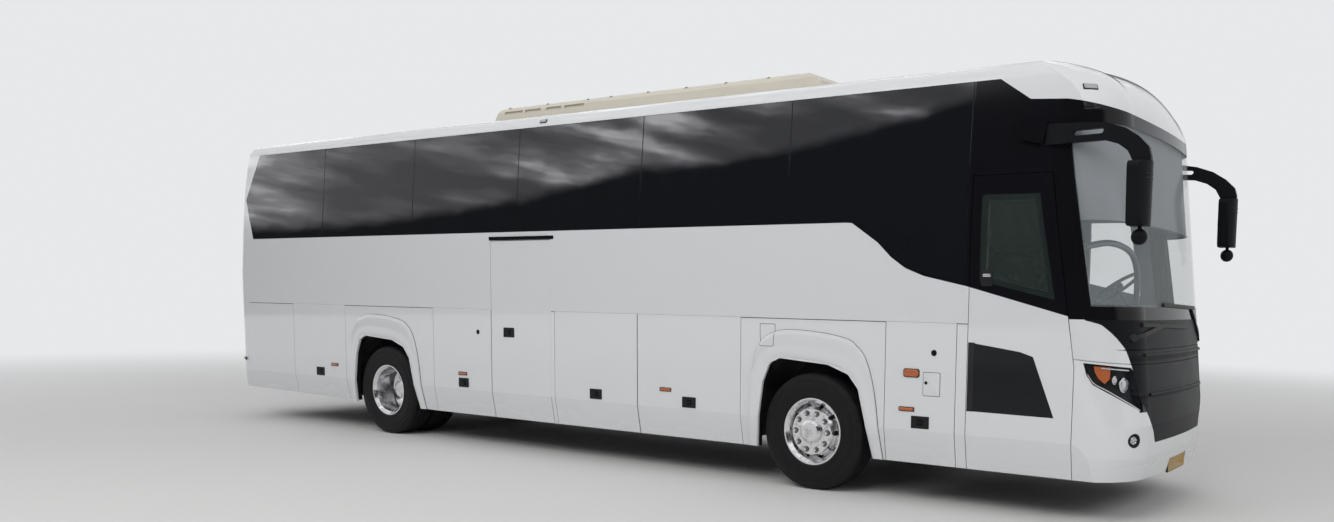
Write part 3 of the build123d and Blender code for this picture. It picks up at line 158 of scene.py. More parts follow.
# Height of the driver's side's locks, and the locks at the back: across the coach, height
FAR_LOCK_Z = 0.69
BACK_LOCKS = [(-0.62, 0.86), (0.62, 0.86)]

# Outline of the small hatch on the front arch, the bolts of the roof unit, and the rear end of the clear pane
# beside the driver, all ahead of the front axle
ARCH_HATCH = [(-0.545, 1.46), (-0.38, 1.46), (-0.38, 1.262), (-0.535, 1.262), (-0.545, 1.36)]
COVER_BOLTS = [-4.38, -3.78, -3.18, -2.85, -2.34, -1.84, -1.345, -0.84]
COVER_BOLT_Z = 3.735
DRIVER_PANE = 1.4

# Blank number plates: heights in front and behind, size, and how far the base stands out round them
PLATE_HEIGHTS = (0.381, 0.62)
PLATE_SIZE = (0.52, 0.11)
PLATE_MARGIN = 0.012

# What the side glass mirrors: the dark's height by direction, and the strength of the light over it
SKYLINE = [(-0.874, 0.12), (-0.81, 0.15), (-0.749, 0.183), (-0.673, 0.226), (-0.563, 0.259), (-0.424, 0.316),
           (0.0, 0.42)]
STREAKS = [(0.38, 0.35), (0.48, 0.55), (0.56, 1.0), (0.68, 3.2)]
STREAK_STRETCH = (1.0, 1.0, 5.5)

# Inside the headlamps, seen from 45 degrees to the front: distance along that view, height
HEADLAMP = [(0.844, 1.245), (0.865, 1.155), (0.909, 1.081), (0.998, 1.032), (1.16, 0.949), (1.341, 0.866),
            (1.32, 1.08), (1.216, 1.211)]
HEADLAMP_DEPTH = 0.062
INDICATOR = [(0.915, 1.222), (1.045, 1.216), (1.04, 1.13), (1.0, 1.09), (0.95, 1.13), (0.925, 1.18)]
LAMP_PIPE = [(0.97, 1.209), (1.2, 1.192)]
LAMP_EDGE = [(0.872, 1.16), (0.918, 1.092), (1.004, 1.046), (1.162, 0.965), (1.32, 0.888)]
PROJECTORS = [(1.085, 1.118, 0.031), (1.18, 1.082, 0.055)]
PROJECTOR_TURN = math.radians(20)

# Fog lamp: across the coach, height, radius
FOG_LAMP = (1.026, 0.658, 0.054)

# Wheels: radius of the studs' ring; how far out each wheel's face and its tyres' middles stand; with the
# face, the radius of the dark disc of painted shade round a nut; where round the rim and how far from the
# axle the valve's foot stands
STUD_RING = 0.1675
NUTS = 10
FRONT_FACE = 1.237
REAR_FACE = 0.9355
TYRE_RADIUS = 0.52
TYRE_MIDDLES = {"tyre_front": (1.098,), "tyres_rear": (1.088, 0.755)}
RIM_FACES = {"wheel_front": (FRONT_FACE, 0.026), "wheel_rear": (REAR_FACE, 0.021)}
VALVE_TURN = math.radians(-128)
VALVE_RING = 0.245

# Section of a tyre out from its middle, across and from the axle
SIDEWALL = [(0.1335, 0.2985), (0.1400, 0.306), (0.1455, 0.316), (0.1462, 0.324), (0.1438, 0.330),
            (0.1442, 0.345), (0.1456, 0.375), (0.1458, 0.377), (0.1468, 0.378), (0.1474, 0.410),
            (0.1470, 0.432), (0.1454, 0.4345), (0.1440, 0.462), (0.1454, 0.4645), (0.1438, 0.472),
            (0.1418, 0.474), (0.1370, 0.490), (0.1290, 0.505), (0.1180, 0.513)]
TREAD_HALF = 0.108
GROOVES = (0.078, 0.028)
GROOVE_HALF = 0.0055
GROOVE_DEPTH = 0.013
CROWN_DROP = 0.003

# Passenger seats: first row ahead of the front axle, pitch of the rows, middles of the pairs, how far each
# seat stands from its pair's middle, floor; the driver's seat ahead of the front axle, across and height
SEAT_FIRST = 0.52
SEAT_PITCH = 0.79
SEAT_ROWS = 11
PAIR_MIDDLE = 0.72
SEAT_SPREAD = 0.2225
FLOOR_HEIGHT = 1.515
DRIVER_SEAT = (1.52, 0.7, 1.08)

# Lamp on the corner of the roof's cap, seen from 45 degrees to the front
CAP_MARKER = (0.885, 3.305)

# Mirrors: outline of the foot ahead of the front axle and by height; size of the head; height, tallness and
# width of its two panes; heights of the ribs round its top
MIRROR_FOOT = [(1.824, 3.054), (1.85, 2.965), (1.904, 2.919), (2.07, 2.883), (2.10, 3.046)]
MIRROR_DEPTH = 0.145
MIRROR_WIDTH = 0.27
MIRROR_PANES = [(2.54, 0.25, 0.205), (2.325, 0.14, 0.165)]
MIRROR_RIBS = (2.60, 2.57)

# Sun blind: heights, the place along the coach that its rays go out from, half the angle that it spans,
# and its distance from the glass
BLIND_LOW = 2.31
BLIND_HIGH = 3.06
BLIND_HUB = 4.4
BLIND_TURN = math.radians(50)
BLIND_GAP = 0.035

# Grab rails: ahead of the front axle, across and height
RAIL_RADIUS = 0.026
RAILS = [[(2.38, -1.13, 2.12), (2.4, -0.567, 2.178), (2.4, -0.07, 2.147), (2.4, 0.15, 2.056),
          (2.4, 0.24, 1.9), (2.39, 0.26, 1.58)],
         [(1.44, -0.98, 1.2), (1.44, -0.98, 1.6), (1.46, -0.96, 2.0), (1.5, -0.9, 2.3)],
         [(1.98, -0.42, 1.2), (1.98, -0.44, 1.7), (1.9, -0.5, 2.0), (1.6, -0.52, 2.1), (1.42, -0.52, 2.1)]]

# Pads of a seat: place ahead of its foot and over the floor, size along, across and up, turn back
SEAT_PADS = [("cushion", (0.215, 0.388), (0.52, 0.43, 0.12), 3),
             ("back", (-0.078, 0.765), (0.118, 0.43, 0.72), 15.5),
             ("headrest", (-0.142, 1.02), (0.135, 0.27, 0.19), 15.5)]
SEAT_SHELLS = [("back shell", (-0.133, 0.76), (0.03, 0.435, 0.7), 15.5),
               ("pan", (0.2, 0.325), (0.46, 0.40, 0.03), 3),
               ("pedestal", (0.03, 0.16), (0.06, 0.30, 0.32), 0)]

# Lamps of the studio: name, place, aim, size, power
STUDIO_LAMPS = [("side_lamp", (2.0, -11.0, 9.5), (0.5, 0.0, 1.2), 12.0, 700),
                ("front_lamp", (14.0, -4.0, 7.0), (4.0, 0.0, 1.6), 8.0, 330),
                ("rear_lamp", (-14.0, -3.0, 8.0), (-4.0, 0.0, 1.6), 9.0, 160),
                ("far_lamp", (0.0, 12.0, 9.0), (0.0, 0.0, 1.5), 12.0, 260)]

# Half the floor's length, and the distances over which it fades into the backdrop
FLOOR_REACH = 60
FLOOR_FADE = (8.0, 24.0)

# Colours that several finishes share or that lie in the paint's own shader
PRINTED_BLACK = (0.006, 0.006, 0.007)
# Painted shade on the faces inside the body paint's seams
SEAM_SHADE = (0.012, 0.012, 0.013)
LINING_GREY = (0.2, 0.2, 0.21)
ROAD_FILM = (0.5, 0.49, 0.46)

# Angle past which an edge shows as an edge; sine and cosine of 45 degrees; the radius where a turned shape
# closes on its axis
SHARP_ANGLE = math.radians(38)
SLANT = math.sqrt(0.5)
POINTED = 0.0001


class Value:
    """A number that runs through a material's nodes, with the usual operators."""

    def __init__(self, finish, socket):
        self.finish = finish
        self.socket = socket

    def __add__(self, other):
        return self.finish.math("ADD", self, other)

    def __sub__(self, other):
        return self.finish.math("SUBTRACT", self, other)

    def __rsub__(self, other):
        return self.finish.math("SUBTRACT", other, self)

    def __mul__(self, other):
        return self.finish.math("MULTIPLY", self, other)

    def __mod__(self, other):
        return self.finish.math("FLOORED_MODULO", self, other)

    def __abs__(self):
        return self.finish.math("ABSOLUTE", self)

    def __gt__(self, other):
        return self.finish.math("GREATER_THAN", self, other)

    def __lt__(self, other):
        return self.finish.math("LESS_THAN", self, other)

    __radd__ = __add__
    __rmul__ = __mul__


class Finish:
    """One procedural material, or a world, and the nodes that make it."""

    def __init__(self, name, world=None):
        self.material = world or bpy.data.materials.new(name)
        self.material.use_nodes = True
        self.tree = self.material.node_tree
        self.tree.nodes.clear()
        coordinates = self.node("ShaderNodeTexCoord")
        self.place = coordinates.outputs["Generated" if world else "Object"]
        parts = self.node("ShaderNodeSeparateXYZ", {}, {"Vector": self.place})
        self.x = Value(self, parts.outputs["X"])
        self.y = Value(self, parts.outputs["Y"])
        self.z = Value(self, parts.outputs["Z"])

    def node(self, kind, settings=None, sockets=None):
        """A node of a type, with its settings set first and then its sockets' values or links."""
        node = self.tree.nodes.new(kind)
        for name, setting in (settings or {}).items():
            setattr(node, name, setting)
        for name, value in (sockets or {}).items():
            self.feed(node.inputs[name], value)
        return node

    def feed(self, socket, value):
        """Link a value or an output to a socket, or set a number, a vector or a colour there."""
        if isinstance(value, Value):
            value = value.socket
        if isinstance(value, bpy.types.NodeSocket):
            self.tree.links.new(value, socket)
        elif socket.type == "RGBA":
            socket.default_value = (*value, 1)
        else:
            socket.default_value = value

    def math(self, operation, *values):
        return Value(self, self.node("ShaderNodeMath", {"operation": operation},
                                     dict(enumerate(values))).outputs[0])

    def noise(self, scale, detail=3.0, stretch=(1, 1, 1)):
        """Soft noise, finer with a larger scale, drawn out along axes with a stretch under 1."""
        mapping = self.node("ShaderNodeMapping", {}, {"Vector": self.place, "Scale": stretch})
        node = self.node("ShaderNodeTexNoise", {}, {"Vector": mapping.outputs["Vector"], "Scale": scale,
                                                    "Detail": detail})
        return Value(self, node.outputs["Fac"])

    def path(self, value, points):
        """A height that follows a value along straight pieces between points, level past its ends."""
        height = points[0][1]
        for (start, low), (end, high) in zip(points, points[1:]):
            node = self.node("ShaderNodeMapRange", {"clamp": True},
                             {"Value": value, "From Min": start, "From Max": end, "To Max": high - low})
            height = Value(self, node.outputs["Result"]) + height
        return height

    def ramp(self, value, low, high):
        """0 below a low value and 1 above a high one, smooth between them."""
        node = self.node("ShaderNodeMapRange", {"interpolation_type": "SMOOTHSTEP"},
                         {"Value": value, "From Min": low, "From Max": high})
        return Value(self, node.outputs["Result"])

    def either(self, a, b):
        return self.math("MAXIMUM", a, b)

    def colour(self, share, low, high):
        """A colour or a link to one, changing to another with a share from 0 to 1."""
        node = self.node("ShaderNodeMix", {"data_type": "RGBA"})
        for index, value in ((0, share), (6, low), (7, high)):
            self.feed(node.inputs[index], value)
        return node.outputs[2]

    def bump(self, height, distance, strength=1.0):
        return self.node("ShaderNodeBump", {}, {"Height": height, "Distance": distance,
                                                "Strength": strength}).outputs["Normal"]

    def done(self, sockets):
        """Close the material with a shader that has these sockets."""
        shader = self.node("ShaderNodeBsdfPrincipled", {}, sockets)
        self.node("ShaderNodeOutputMaterial", {}, {"Surface": shader.outputs["BSDF"]})
        return self.material


class CoachPaint(bpy.types.PropertyGroup):
    """Colours of the coach."""
    body: bpy.props.FloatVectorProperty(name="Body", description="Colour of the body's paint",
                                        subtype="COLOR", default=(0.69, 0.705, 0.72))
    front: bpy.props.FloatVectorProperty(name="Front", description="Colour of the front's moulded panels",
                                         subtype="COLOR", default=(0.007, 0.0075, 0.009))
    glass: bpy.props.FloatVectorProperty(name="Privacy glass", description="Colour of the side windows",
                                         subtype="COLOR", default=(0.006, 0.007, 0.009))
    tint: bpy.props.FloatVectorProperty(name="Door glass", description="Tint of the door's upper pane",
                                        subtype="COLOR", default=(0.045, 0.062, 0.056))
    screen: bpy.props.FloatVectorProperty(name="Windscreen", description="Tint of the windscreen",
                                          subtype="COLOR", default=(0.56, 0.63, 0.65))
    rubber: bpy.props.FloatVectorProperty(name="Tyres", description="Colour of the tyres",
                                          subtype="COLOR", default=(0.009, 0.009, 0.009))
    cover: bpy.props.FloatVectorProperty(name="Roof unit", description="Colour of the cover on the roof",
                                         subtype="COLOR", default=(0.66, 0.62, 0.53))
    # The plates' own yellow, darkened as painted shade of the recess they sit in
    plate: bpy.props.FloatVectorProperty(name="Plate", description="Colour of the blank number plates",
                                         subtype="COLOR", default=(0.36, 0.205, 0.016))
    indicator: bpy.props.FloatVectorProperty(name="Indicators", description="Colour of the orange lenses",
                                             subtype="COLOR", default=(0.40, 0.095, 0.016))
    cloth: bpy.props.FloatVectorProperty(name="Seats", description="Colour of the seats' cloth",
                                         subtype="COLOR", default=(0.035, 0.04, 0.055))
    surround: bpy.props.FloatVectorProperty(name="Surround", subtype="COLOR", default=(0.006, 0.006, 0.008),
                                            description="Colour round the glass on the sides")


class CoachTrim(bpy.types.PropertyGroup):
    """Sizes of small fittings and pads."""
    nut: bpy.props.FloatProperty(name="Wheel nut", description="Half of a wheel nut across its corners",
                                 subtype="DISTANCE", unit="LENGTH", default=0.019)
    lock: bpy.props.FloatProperty(name="Flap lock", description="Width of a flap's lock",
                                  subtype="DISTANCE", unit="LENGTH", default=0.165)
    swell: bpy.props.FloatProperty(name="Seat swell", description="How far a seat's pads swell",
                                   subtype="DISTANCE", unit="LENGTH", default=0.012)


class CoachStage(bpy.types.PropertyGroup):
    """Camera, lamps and floor."""
    eye: bpy.props.FloatVectorProperty(name="Camera", description="Where the camera stands",
                                       subtype="TRANSLATION", unit="LENGTH", default=(8.130, -8.843, 1.685))
    heading: bpy.props.FloatProperty(name="Heading", subtype="ANGLE", default=0.5536,
                                     description="Camera's turn from looking straight at the side")
    pitch: bpy.props.FloatProperty(name="Pitch", description="Camera's tilt down",
                                   subtype="ANGLE", default=0.0983)
    roll: bpy.props.FloatProperty(name="Roll", description="Camera's tilt sideways",
                                  subtype="ANGLE", default=-0.018)
    focal: bpy.props.FloatProperty(name="Focal length", description="Focal length in pixels of the image",
                                   subtype="PIXEL", default=1036.47)
    centre: bpy.props.FloatVectorProperty(name="Centre", description="Pixel that the lens points at",
                                          size=2, default=(841.7, 402.1))
    floor: bpy.props.FloatVectorProperty(name="Floor", description="Colour of the floor",
                                         subtype="COLOR", default=(0.72, 0.72, 0.71))
    backdrop: bpy.props.FloatVectorProperty(name="Backdrop", description="Plain colour behind the coach",
                                            subtype="COLOR", default=(0.80, 0.81, 0.82))
    sky: bpy.props.FloatProperty(name="Room light", description="Strength of the room's own light",
                                 subtype="FACTOR", default=0.5)


def paint():
    return bpy.context.scene.coach_paint


def stage():
    return bpy.context.scene.coach_stage


def trim():
    return bpy.context.scene.coach_trim


FINISHES = {}


def finish(maker):
    """The material that a function makes, made once."""
    if maker not in FINISHES:
        FINISHES[maker] = maker()
    return FINISHES[maker]


def within(value, low, high):
    """1 where a value lies between two others."""
    return (value > low) * (value < high)


def painted(made, black=None, lining=None):
    """Close a material as gloss body paint: black or grey where its masks are 1, painted shade in its seams.
    """
    ahead = made.x - FRONT_HUB.x
    depth = made.path(made.z, HALF_WIDTHS) - abs(made.y)
    # Painted shade: faces deeper than the skin, inside the gaps between panels, turn dark
    seam = (depth > SEAM_DEPTH) * within(ahead, *SIDE_ENDS) * (made.z < SEAM_TOP)
    film = made.ramp(made.noise(1.6, 4, (1, 1, 2)) * 0.6 + (1 - made.z * 1.1), 0.55, 1.5)
    wave = made.noise(0.9, 1, (1, 1, 0.5))
    colour = made.colour(film * 0.25, paint().body, ROAD_FILM)
    colour = made.colour(seam if lining is None else seam * (1 - lining), colour, SEAM_SHADE)
    roughness = film * 0.15 + 0.24
    coat = 1 - film * 0.3
    if black is not None:
        colour = made.colour(black, colour, paint().surround)
        roughness = roughness * (1 - black * 0.7)
        coat = coat * (1 - black * 0.85)
    if lining is not None:
        colour = made.colour(lining, colour, LINING_GREY)
        roughness = made.either(roughness, lining * 0.8)
        coat = coat * (1 - lining)
    return made.done({
        "Base Color": colour,
        "Roughness": roughness,
        "Specular IOR Level": 0.3,
        "Coat Weight": coat,
        "Coat Roughness": 0.03,
        "Normal": made.bump(wave, 0.004, 0.3),
    })


def body_paint():
    """Gloss paint with the faint waviness of large panels, black in the slit between headlamp and grille."""
    made = Finish("body_paint")
    start, low, high = HEADLAMP_SLIT
    along = (made.x - FRONT_HUB.x - abs(made.y)) * SLANT
    return painted(made, (along > start) * within(made.z, low, high))


def wall_paint():
    """Body paint of the side walls and the entrance door: black round the glass, grey lining inside."""
    made = Finish("wall_paint")
    ahead = made.x - FRONT_HUB.x
    black = (made.z > made.path(ahead, SILL)) * (made.z < WINDOW_TOP) * (ahead > made.path(made.z, CHEVRON))
    for rear, front, low, high in (GUTTER, PANE_SURROUND):
        patch = within(ahead, rear, front) * within(made.z, low, high) * (made.y < 0)
        black = made.either(black, patch)
    lining = made.path(made.z, HALF_WIDTHS) - abs(made.y) > LINING_DEPTH
    return painted(made, black, lining * (ahead < SIDE_ENDS[1]))


def roof_paint():
    """Body paint of the roof, with a grey lining under it."""
    made = Finish("roof_paint")
    top, half, rear, front = ROOF_LINING
    ahead = made.x - FRONT_HUB.x
    return painted(made, None, (made.z < top) * (abs(made.y) < half) * within(ahead, rear, front))


def front_plastic():
    """Dark moulded panel with a fine grain, a soft shine and the swell of its two ribs."""
    made = Finish("front_plastic")
    patch = made.noise(3, 2)
    upper, lower = (made.ramp(half - abs(made.z - height), 0.0, half) for height, half in FRONT_RIBS)
    swell = (upper + lower) * (made.x > RIBS_FROM) * (abs(made.y) < RIBS_HALF_LENGTH)
    return made.done({
        "Base Color": made.colour(patch, paint().front, (0.012, 0.0125, 0.014)),
        "Roughness": patch * 0.12 + 0.32,
        "Specular IOR Level": 0.06,
        "Normal": made.bump(swell + made.noise(900, 2) * 0.02, 0.03, 0.8),
    })


def black_gloss():
    """Black surround of the windscreen, smooth and slightly shiny."""
    made = Finish("black_gloss")
    return made.done({
        "Base Color": PRINTED_BLACK,
        "Roughness": made.noise(5, 3) * 0.06 + 0.05,
        "Specular IOR Level": 0.15,
        "Coat Weight": 0.15,
        "Normal": made.bump(made.noise(2, 1), 0.002, 0.2),
    })


def privacy_glass():
    """Dark glass, clear beside the driver."""
    made = Finish("privacy_glass")
    streak = made.noise(6, 4, (1, 1, 0.25))
    clear = (made.y > 0) * (made.x - FRONT_HUB.x > DRIVER_PANE)
    return made.done({
        "Base Color": made.colour(clear, paint().glass, paint().screen),
        "Roughness": streak * 0.02 + 0.01,
        "IOR": 1.6,
        "Coat Weight": 1.0,
        "Coat Roughness": 0.01,
        "Alpha": (streak * 0.04 + 0.9) * (1 - clear * 0.85),
        "Normal": made.bump(made.noise(1.3, 2), 0.006, 0.35),
    })


def door_glass():
    """Green-tinted glass of the entrance, nearly black in its lower pane."""
    made = Finish("door_glass")
    smear = made.noise(4, 4, (1, 1, 0.4))
    low = made.z < PANE_SPLIT
    return made.done({
        "Base Color": made.colour(low, paint().tint, (0.006, 0.007, 0.008)),
        "Roughness": smear * 0.02 + 0.01,
        "Specular IOR Level": 0.25,
        "Alpha": made.either(smear * 0.04 + 0.36, low * 0.94),
        "Normal": made.bump(made.noise(1.2, 1), 0.002, 0.2),
    })


def screen_glass():
    """Windscreen: lightly tinted, with a printed black border."""
    made = Finish("screen_glass")
    ahead = made.x - FRONT_HUB.x
    border = made.either(ahead < made.path(made.z, SCREEN_EDGE),
                         made.either(made.z < SCREEN_LOW, made.z > SCREEN_HIGH))
    smear = made.noise(4, 4, (1, 1, 0.4))
    return made.done({
        "Base Color": made.colour(border, paint().screen, PRINTED_BLACK),
        "Roughness": smear * 0.02 + 0.01,
        "Specular IOR Level": 0.25,
        "Alpha": made.either(border, smear * 0.04 + 0.13),
        "Normal": made.bump(made.noise(0.8, 1), 0.002, 0.2),
    })


def lens_glass():
    """Clear cover of the front lamps, and the coloured lenses at the back, ribbed inside."""
    made = Finish("lens_glass")
    back = made.x < 0
    red = made.colour(made.z > TAIL_RED, (0.5, 0.008, 0.006), paint().indicator)
    lens = made.colour(made.z < TAIL_WHITE, red, (0.7, 0.7, 0.72))
    ribs = made.math("SINE", made.z * 500) * back
    return made.done({
        "Base Color": made.colour(back, (0.08, 0.085, 0.09), lens),
        "Roughness": made.noise(8, 3) * 0.02 + 0.02,
        "Alpha": made.either(made.noise(5, 2) * 0.03 + 0.03, back),
        "Normal": made.bump(ribs, 0.0015, 0.6),
    })


def trim_plastic():
    """Matt black plastic of seals, locks and small housings, and of the dark lines and discs of painted
    shade.
    """
    made = Finish("trim_plastic")
    return made.done({
        "Base Color": made.colour(made.noise(30, 2), (0.008, 0.008, 0.009), (0.018, 0.018, 0.019)),
        "Roughness": made.noise(80, 2) * 0.15 + 0.42,
        "Specular IOR Level": 0.25,
        "Normal": made.bump(made.noise(900, 2), 0.0003, 0.5),
    })


def bright_metal():
    """Bright plated metal."""
    made = Finish("bright_metal")
    return made.done({
        "Base Color": (0.82, 0.83, 0.84),
        "Metallic": 1.0,
        "Roughness": made.noise(60, 3) * 0.08 + 0.1,
    })


def nut_steel():
    """Dull steel of nuts and valves."""
    made = Finish("nut_steel")
    worn = made.noise(120, 4)
    return made.done({
        "Base Color": made.colour(worn, (0.42, 0.42, 0.43), (0.2, 0.19, 0.18)),
        "Metallic": 0.9,
        "Roughness": worn * 0.2 + 0.28,
    })


def orange_lens():
    """Orange lens with fine ribs."""
    made = Finish("orange_lens")
    ribs = made.math("SINE", made.x * 900) + made.math("SINE", made.z * 900)
    return made.done({
        "Base Color": made.colour(made.noise(40, 2) * 0.5, paint().indicator, (0.6, 0.12, 0.01)),
        "Roughness": made.noise(20, 2) * 0.05 + 0.1,
        "Coat Weight": 0.8,
        "Normal": made.bump(ribs, 0.0008, 0.5),
    })


def pale_lens():
    """Milky lens of the small roof lamps."""
    made = Finish("pale_lens")
    return made.done({
        "Base Color": made.colour(made.noise(60, 2), (0.42, 0.43, 0.44), (0.3, 0.31, 0.32)),
        "Roughness": made.noise(30, 2) * 0.06 + 0.12,
        "Coat Weight": 0.7,
    })


def projector_glass():
    """Thick clear glass of a lamp's lens over a pale reflector."""
    made = Finish("projector_glass")
    return made.done({
        "Base Color": made.colour(made.noise(40, 2), (0.5, 0.52, 0.55), (0.7, 0.72, 0.75)),
        "Roughness": made.noise(60, 2) * 0.05 + 0.03,
        "Metallic": 0.6,
        "Coat Weight": 1.0,
    })


def cabin_rail():
    """Grey coated rail."""
    made = Finish("cabin_rail")
    return made.done({"Base Color": (0.035, 0.04, 0.045), "Roughness": made.noise(80, 3) * 0.1 + 0.35})


def plate_coating():
    """Reflective coating of a blank number plate: its own yellow, darkened as painted shade."""
    made = Finish("plate_coating")
    beads = made.noise(1500, 1)
    return made.done({
        "Base Color": made.colour(made.ramp(made.noise(12, 4), 0.5, 0.9) * 0.3, paint().plate,
                                  (0.4, 0.3, 0.08)),
        "Roughness": beads * 0.1 + 0.3,
        "Normal": made.bump(beads, 0.0003, 0.4),
    })


def mirror_glass():
    """Silvered glass."""
    made = Finish("mirror_glass")
    return made.done({"Base Color": (0.86, 0.88, 0.88), "Metallic": 1.0,
                      "Roughness": made.noise(20, 3) * 0.02 + 0.01})


def blind_cloth():
    """Grey woven roller blind."""
    made = Finish("blind_cloth")
    weave = made.noise(600, 1, (1, 1, 0.15)) + made.noise(600, 1, (0.15, 0.15, 1))
    fold = made.noise(2.5, 2, (1, 1, 0.2))
    return made.done({
        "Base Color": made.colour(fold, (0.19, 0.19, 0.21), (0.27, 0.27, 0.29)),
        "Roughness": weave * 0.05 + 0.85,
        "Normal": made.bump(weave * 0.1 + fold, 0.01, 0.5),
    })


def chassis_coating():
    """Matt dark coating with patches of dust."""
    made = Finish("chassis_coating")
    dust = made.ramp(made.noise(9, 5), 0.4, 0.75)
    return made.done({
        "Base Color": made.colour(dust, (0.012, 0.012, 0.012), (0.05, 0.046, 0.04)),
        "Roughness": dust * 0.25 + 0.55,
        "Normal": made.bump(made.noise(60, 4), 0.001, 0.6),
    })


def cover_plastic():
    """Cream cover, a little weathered."""
    made = Finish("cover_plastic")
    stain = made.ramp(made.noise(3, 6, (1, 1, 3)), 0.45, 0.9)
    return made.done({
        "Base Color": made.colour(stain * 0.35, paint().cover, (0.5, 0.46, 0.38)),
        "Roughness": stain * 0.2 + 0.35,
        "Normal": made.bump(made.noise(350, 2), 0.0005, 0.4),
    })


def tyre_compound(made, hub):
    """Rubber of a wheel about its hub: sipes across the tread, fine rings on the sidewall and dust."""
    across = made.x - hub.x
    above = made.z - hub.z
    reach = made.math("SQRT", across * across + above * above)
    turn = made.math("ARCTAN2", above, across)
    tread = reach > TYRE_RADIUS - 0.012
    sipe = made.ramp(abs((turn * 13.369 + made.y * 9) % 1 - 0.5), 0.42, 0.46) * tread
    rings = made.math("SINE", reach * 1400) * (reach < 0.475) * 0.15
    dust = made.ramp(made.noise(14, 6) + made.ramp(reach, 0.42, 0.52) * 0.25, 0.5, 1.0)
    return made.done({
        "Base Color": made.colour(dust * 0.4, paint().rubber, (0.035, 0.033, 0.03)),
        "Roughness": dust * 0.25 + 0.55,
        "Specular IOR Level": 0.2,
        "Normal": made.bump(rings + made.noise(260, 3) * 0.3 - sipe, 0.003, 0.5),
    })


def front_rubber():
    """Rubber of the front tyres."""
    return tyre_compound(Finish("front_rubber"), FRONT_HUB)


def rear_rubber():
    """Rubber of the rear tyres."""
    return tyre_compound(Finish("rear_rubber"), REAR_HUB)


def polished_metal():
    """Polished wheel metal with a fine grain and a little grime."""
    made = Finish("polished_metal")
    grime = made.ramp(made.noise(16, 5), 0.5, 0.85)
    return made.done({
        "Base Color": made.colour(grime * 0.6, (0.78, 0.78, 0.79), (0.2, 0.18, 0.16)),
        "Metallic": 1 - grime * 0.35,
        "Roughness": grime * 0.3 + 0.16,
        "Normal": made.bump(made.noise(500, 2), 0.0003, 0.4),
    })


def cabin_plastic():
    """Grained grey plastic of the cabin."""
    made = Finish("cabin_plastic")
    return made.done({
        "Base Color": made.colour(made.noise(4, 3), (0.03, 0.031, 0.034), (0.05, 0.05, 0.053)),
        "Roughness": made.noise(40, 2) * 0.15 + 0.5,
        "Normal": made.bump(made.noise(420, 2), 0.0006, 0.6),
    })


def seat_cloth():
    """Woven cloth with a two-thread pattern."""
    made = Finish("seat_cloth")
    threads = made.noise(380, 2, (1, 1, 0.2)) * 0.5 + made.noise(380, 2, (0.2, 0.2, 1)) * 0.5
    pattern = made.ramp(made.noise(22, 2), 0.48, 0.56)
    return made.done({
        "Base Color": made.colour(pattern, paint().cloth, (0.1, 0.11, 0.14)),
        "Roughness": threads * 0.1 + 0.82,
        "Normal": made.bump(threads, 0.001, 0.7),
    })


CAD_FINISHES = {
    body_paint: ("lower_panels", "rear_wall", "front_corners", "bumper", "mid_door", "engine_door",
                 "service_flap_right", "tank_flap_right", "luggage_flap_right_1", "luggage_flap_right_2",
                 "front_flap_right", "service_flap_left", "luggage_flap_left_1", "luggage_flap_left_2",
                 "luggage_flap_left_3"),
    roof_paint: ("roof",),
    wall_paint: ("side_wall_right", "side_wall_left", "entrance_door"),
    black_gloss: ("windscreen_frame",),
    front_plastic: ("grille", "mirrors"),
    trim_plastic: ("wipers",),
    privacy_glass: ("dark_glass",),
    screen_glass: ("windscreen",),
    door_glass: ("entrance_glass",),
    lens_glass: ("lamps",),
    front_rubber: ("tyre_front_right", "tyre_front_left"),
    rear_rubber: ("tyres_rear_right", "tyres_rear_left"),
    polished_metal: ("rim_front_right", "rim_front_left", "rims_rear_right", "rims_rear_left"),
    chassis_coating: ("knuckle_right", "knuckle_left", "axles", "chassis", "engine", "door_arms",
                      "wheel_liners"),
    cover_plastic: ("roof_unit",),
    seat_cloth: ("seats",),
    cabin_plastic: ("dashboard", "floor", "entrance_steps"),
}

SHELL_NODES = [name for maker in (body_paint, roof_paint, wall_paint, black_gloss, front_plastic,
                                  screen_glass, privacy_glass, door_glass, lens_glass, cover_plastic)
               for name in CAD_FINISHES[maker]]


def frame_tree(name):
    """A node's faces, to cast rays at."""
    mesh = NODES[name].data
    return BVHTree.FromPolygons([vertex.co for vertex in mesh.vertices],
                                [tuple(polygon.vertices) for polygon in mesh.polygons])


TREES = {name: frame_tree(name) for name in SHELL_NODES}


def meet(origin, way, names=SHELL_NODES):
    """The first node that a ray meets, the point, and the normal that faces the ray's start."""
    met = []
    for name in names:
        point, normal, _, distance = TREES[name].ray_cast(origin, way)
        if point is not None:
            met.append((distance, name, point, normal))
    _, name, point, normal = min(met, key=lambda hit: hit[0])
    return name, point, normal if normal.dot(way) < 0 else -normal


def on_side(ahead, height, sign):
    """What stands outermost on a side, ahead of the front axle and at a height."""
    return meet(Vector((FRONT_HUB.x + ahead, 3 * sign, height)), Vector((0, -sign, 0)))


def on_front(across, height, names=SHELL_NODES):
    """What stands foremost at a place across the coach and a height."""
    return meet(Vector((9, across, height)), Vector((-1, 0, 0)), names)


def on_back(across, height):
    """What stands rearmost at a place across the coach and a height."""
    return meet(Vector((-9, across, height)), Vector((1, 0, 0)))


def on_corner(along, height, sign):
    """What stands outermost seen from 45 degrees to the front, by the distance along that view."""
    out = Vector((SLANT, sign * SLANT, 0))
    base = Vector((FRONT_HUB.x + along * SLANT, -sign * along * SLANT, height))
    return meet(base + out * 5, -out)


def seat_on(point, normal):
    """A place on a surface: X runs level along it, Y up it and Z out of it."""
    level = Vector((0, 0, 1)).cross(normal).normalized()
    return Matrix.Translation(point) @ Matrix((level, normal.cross(level), normal)).transposed().to_4x4()


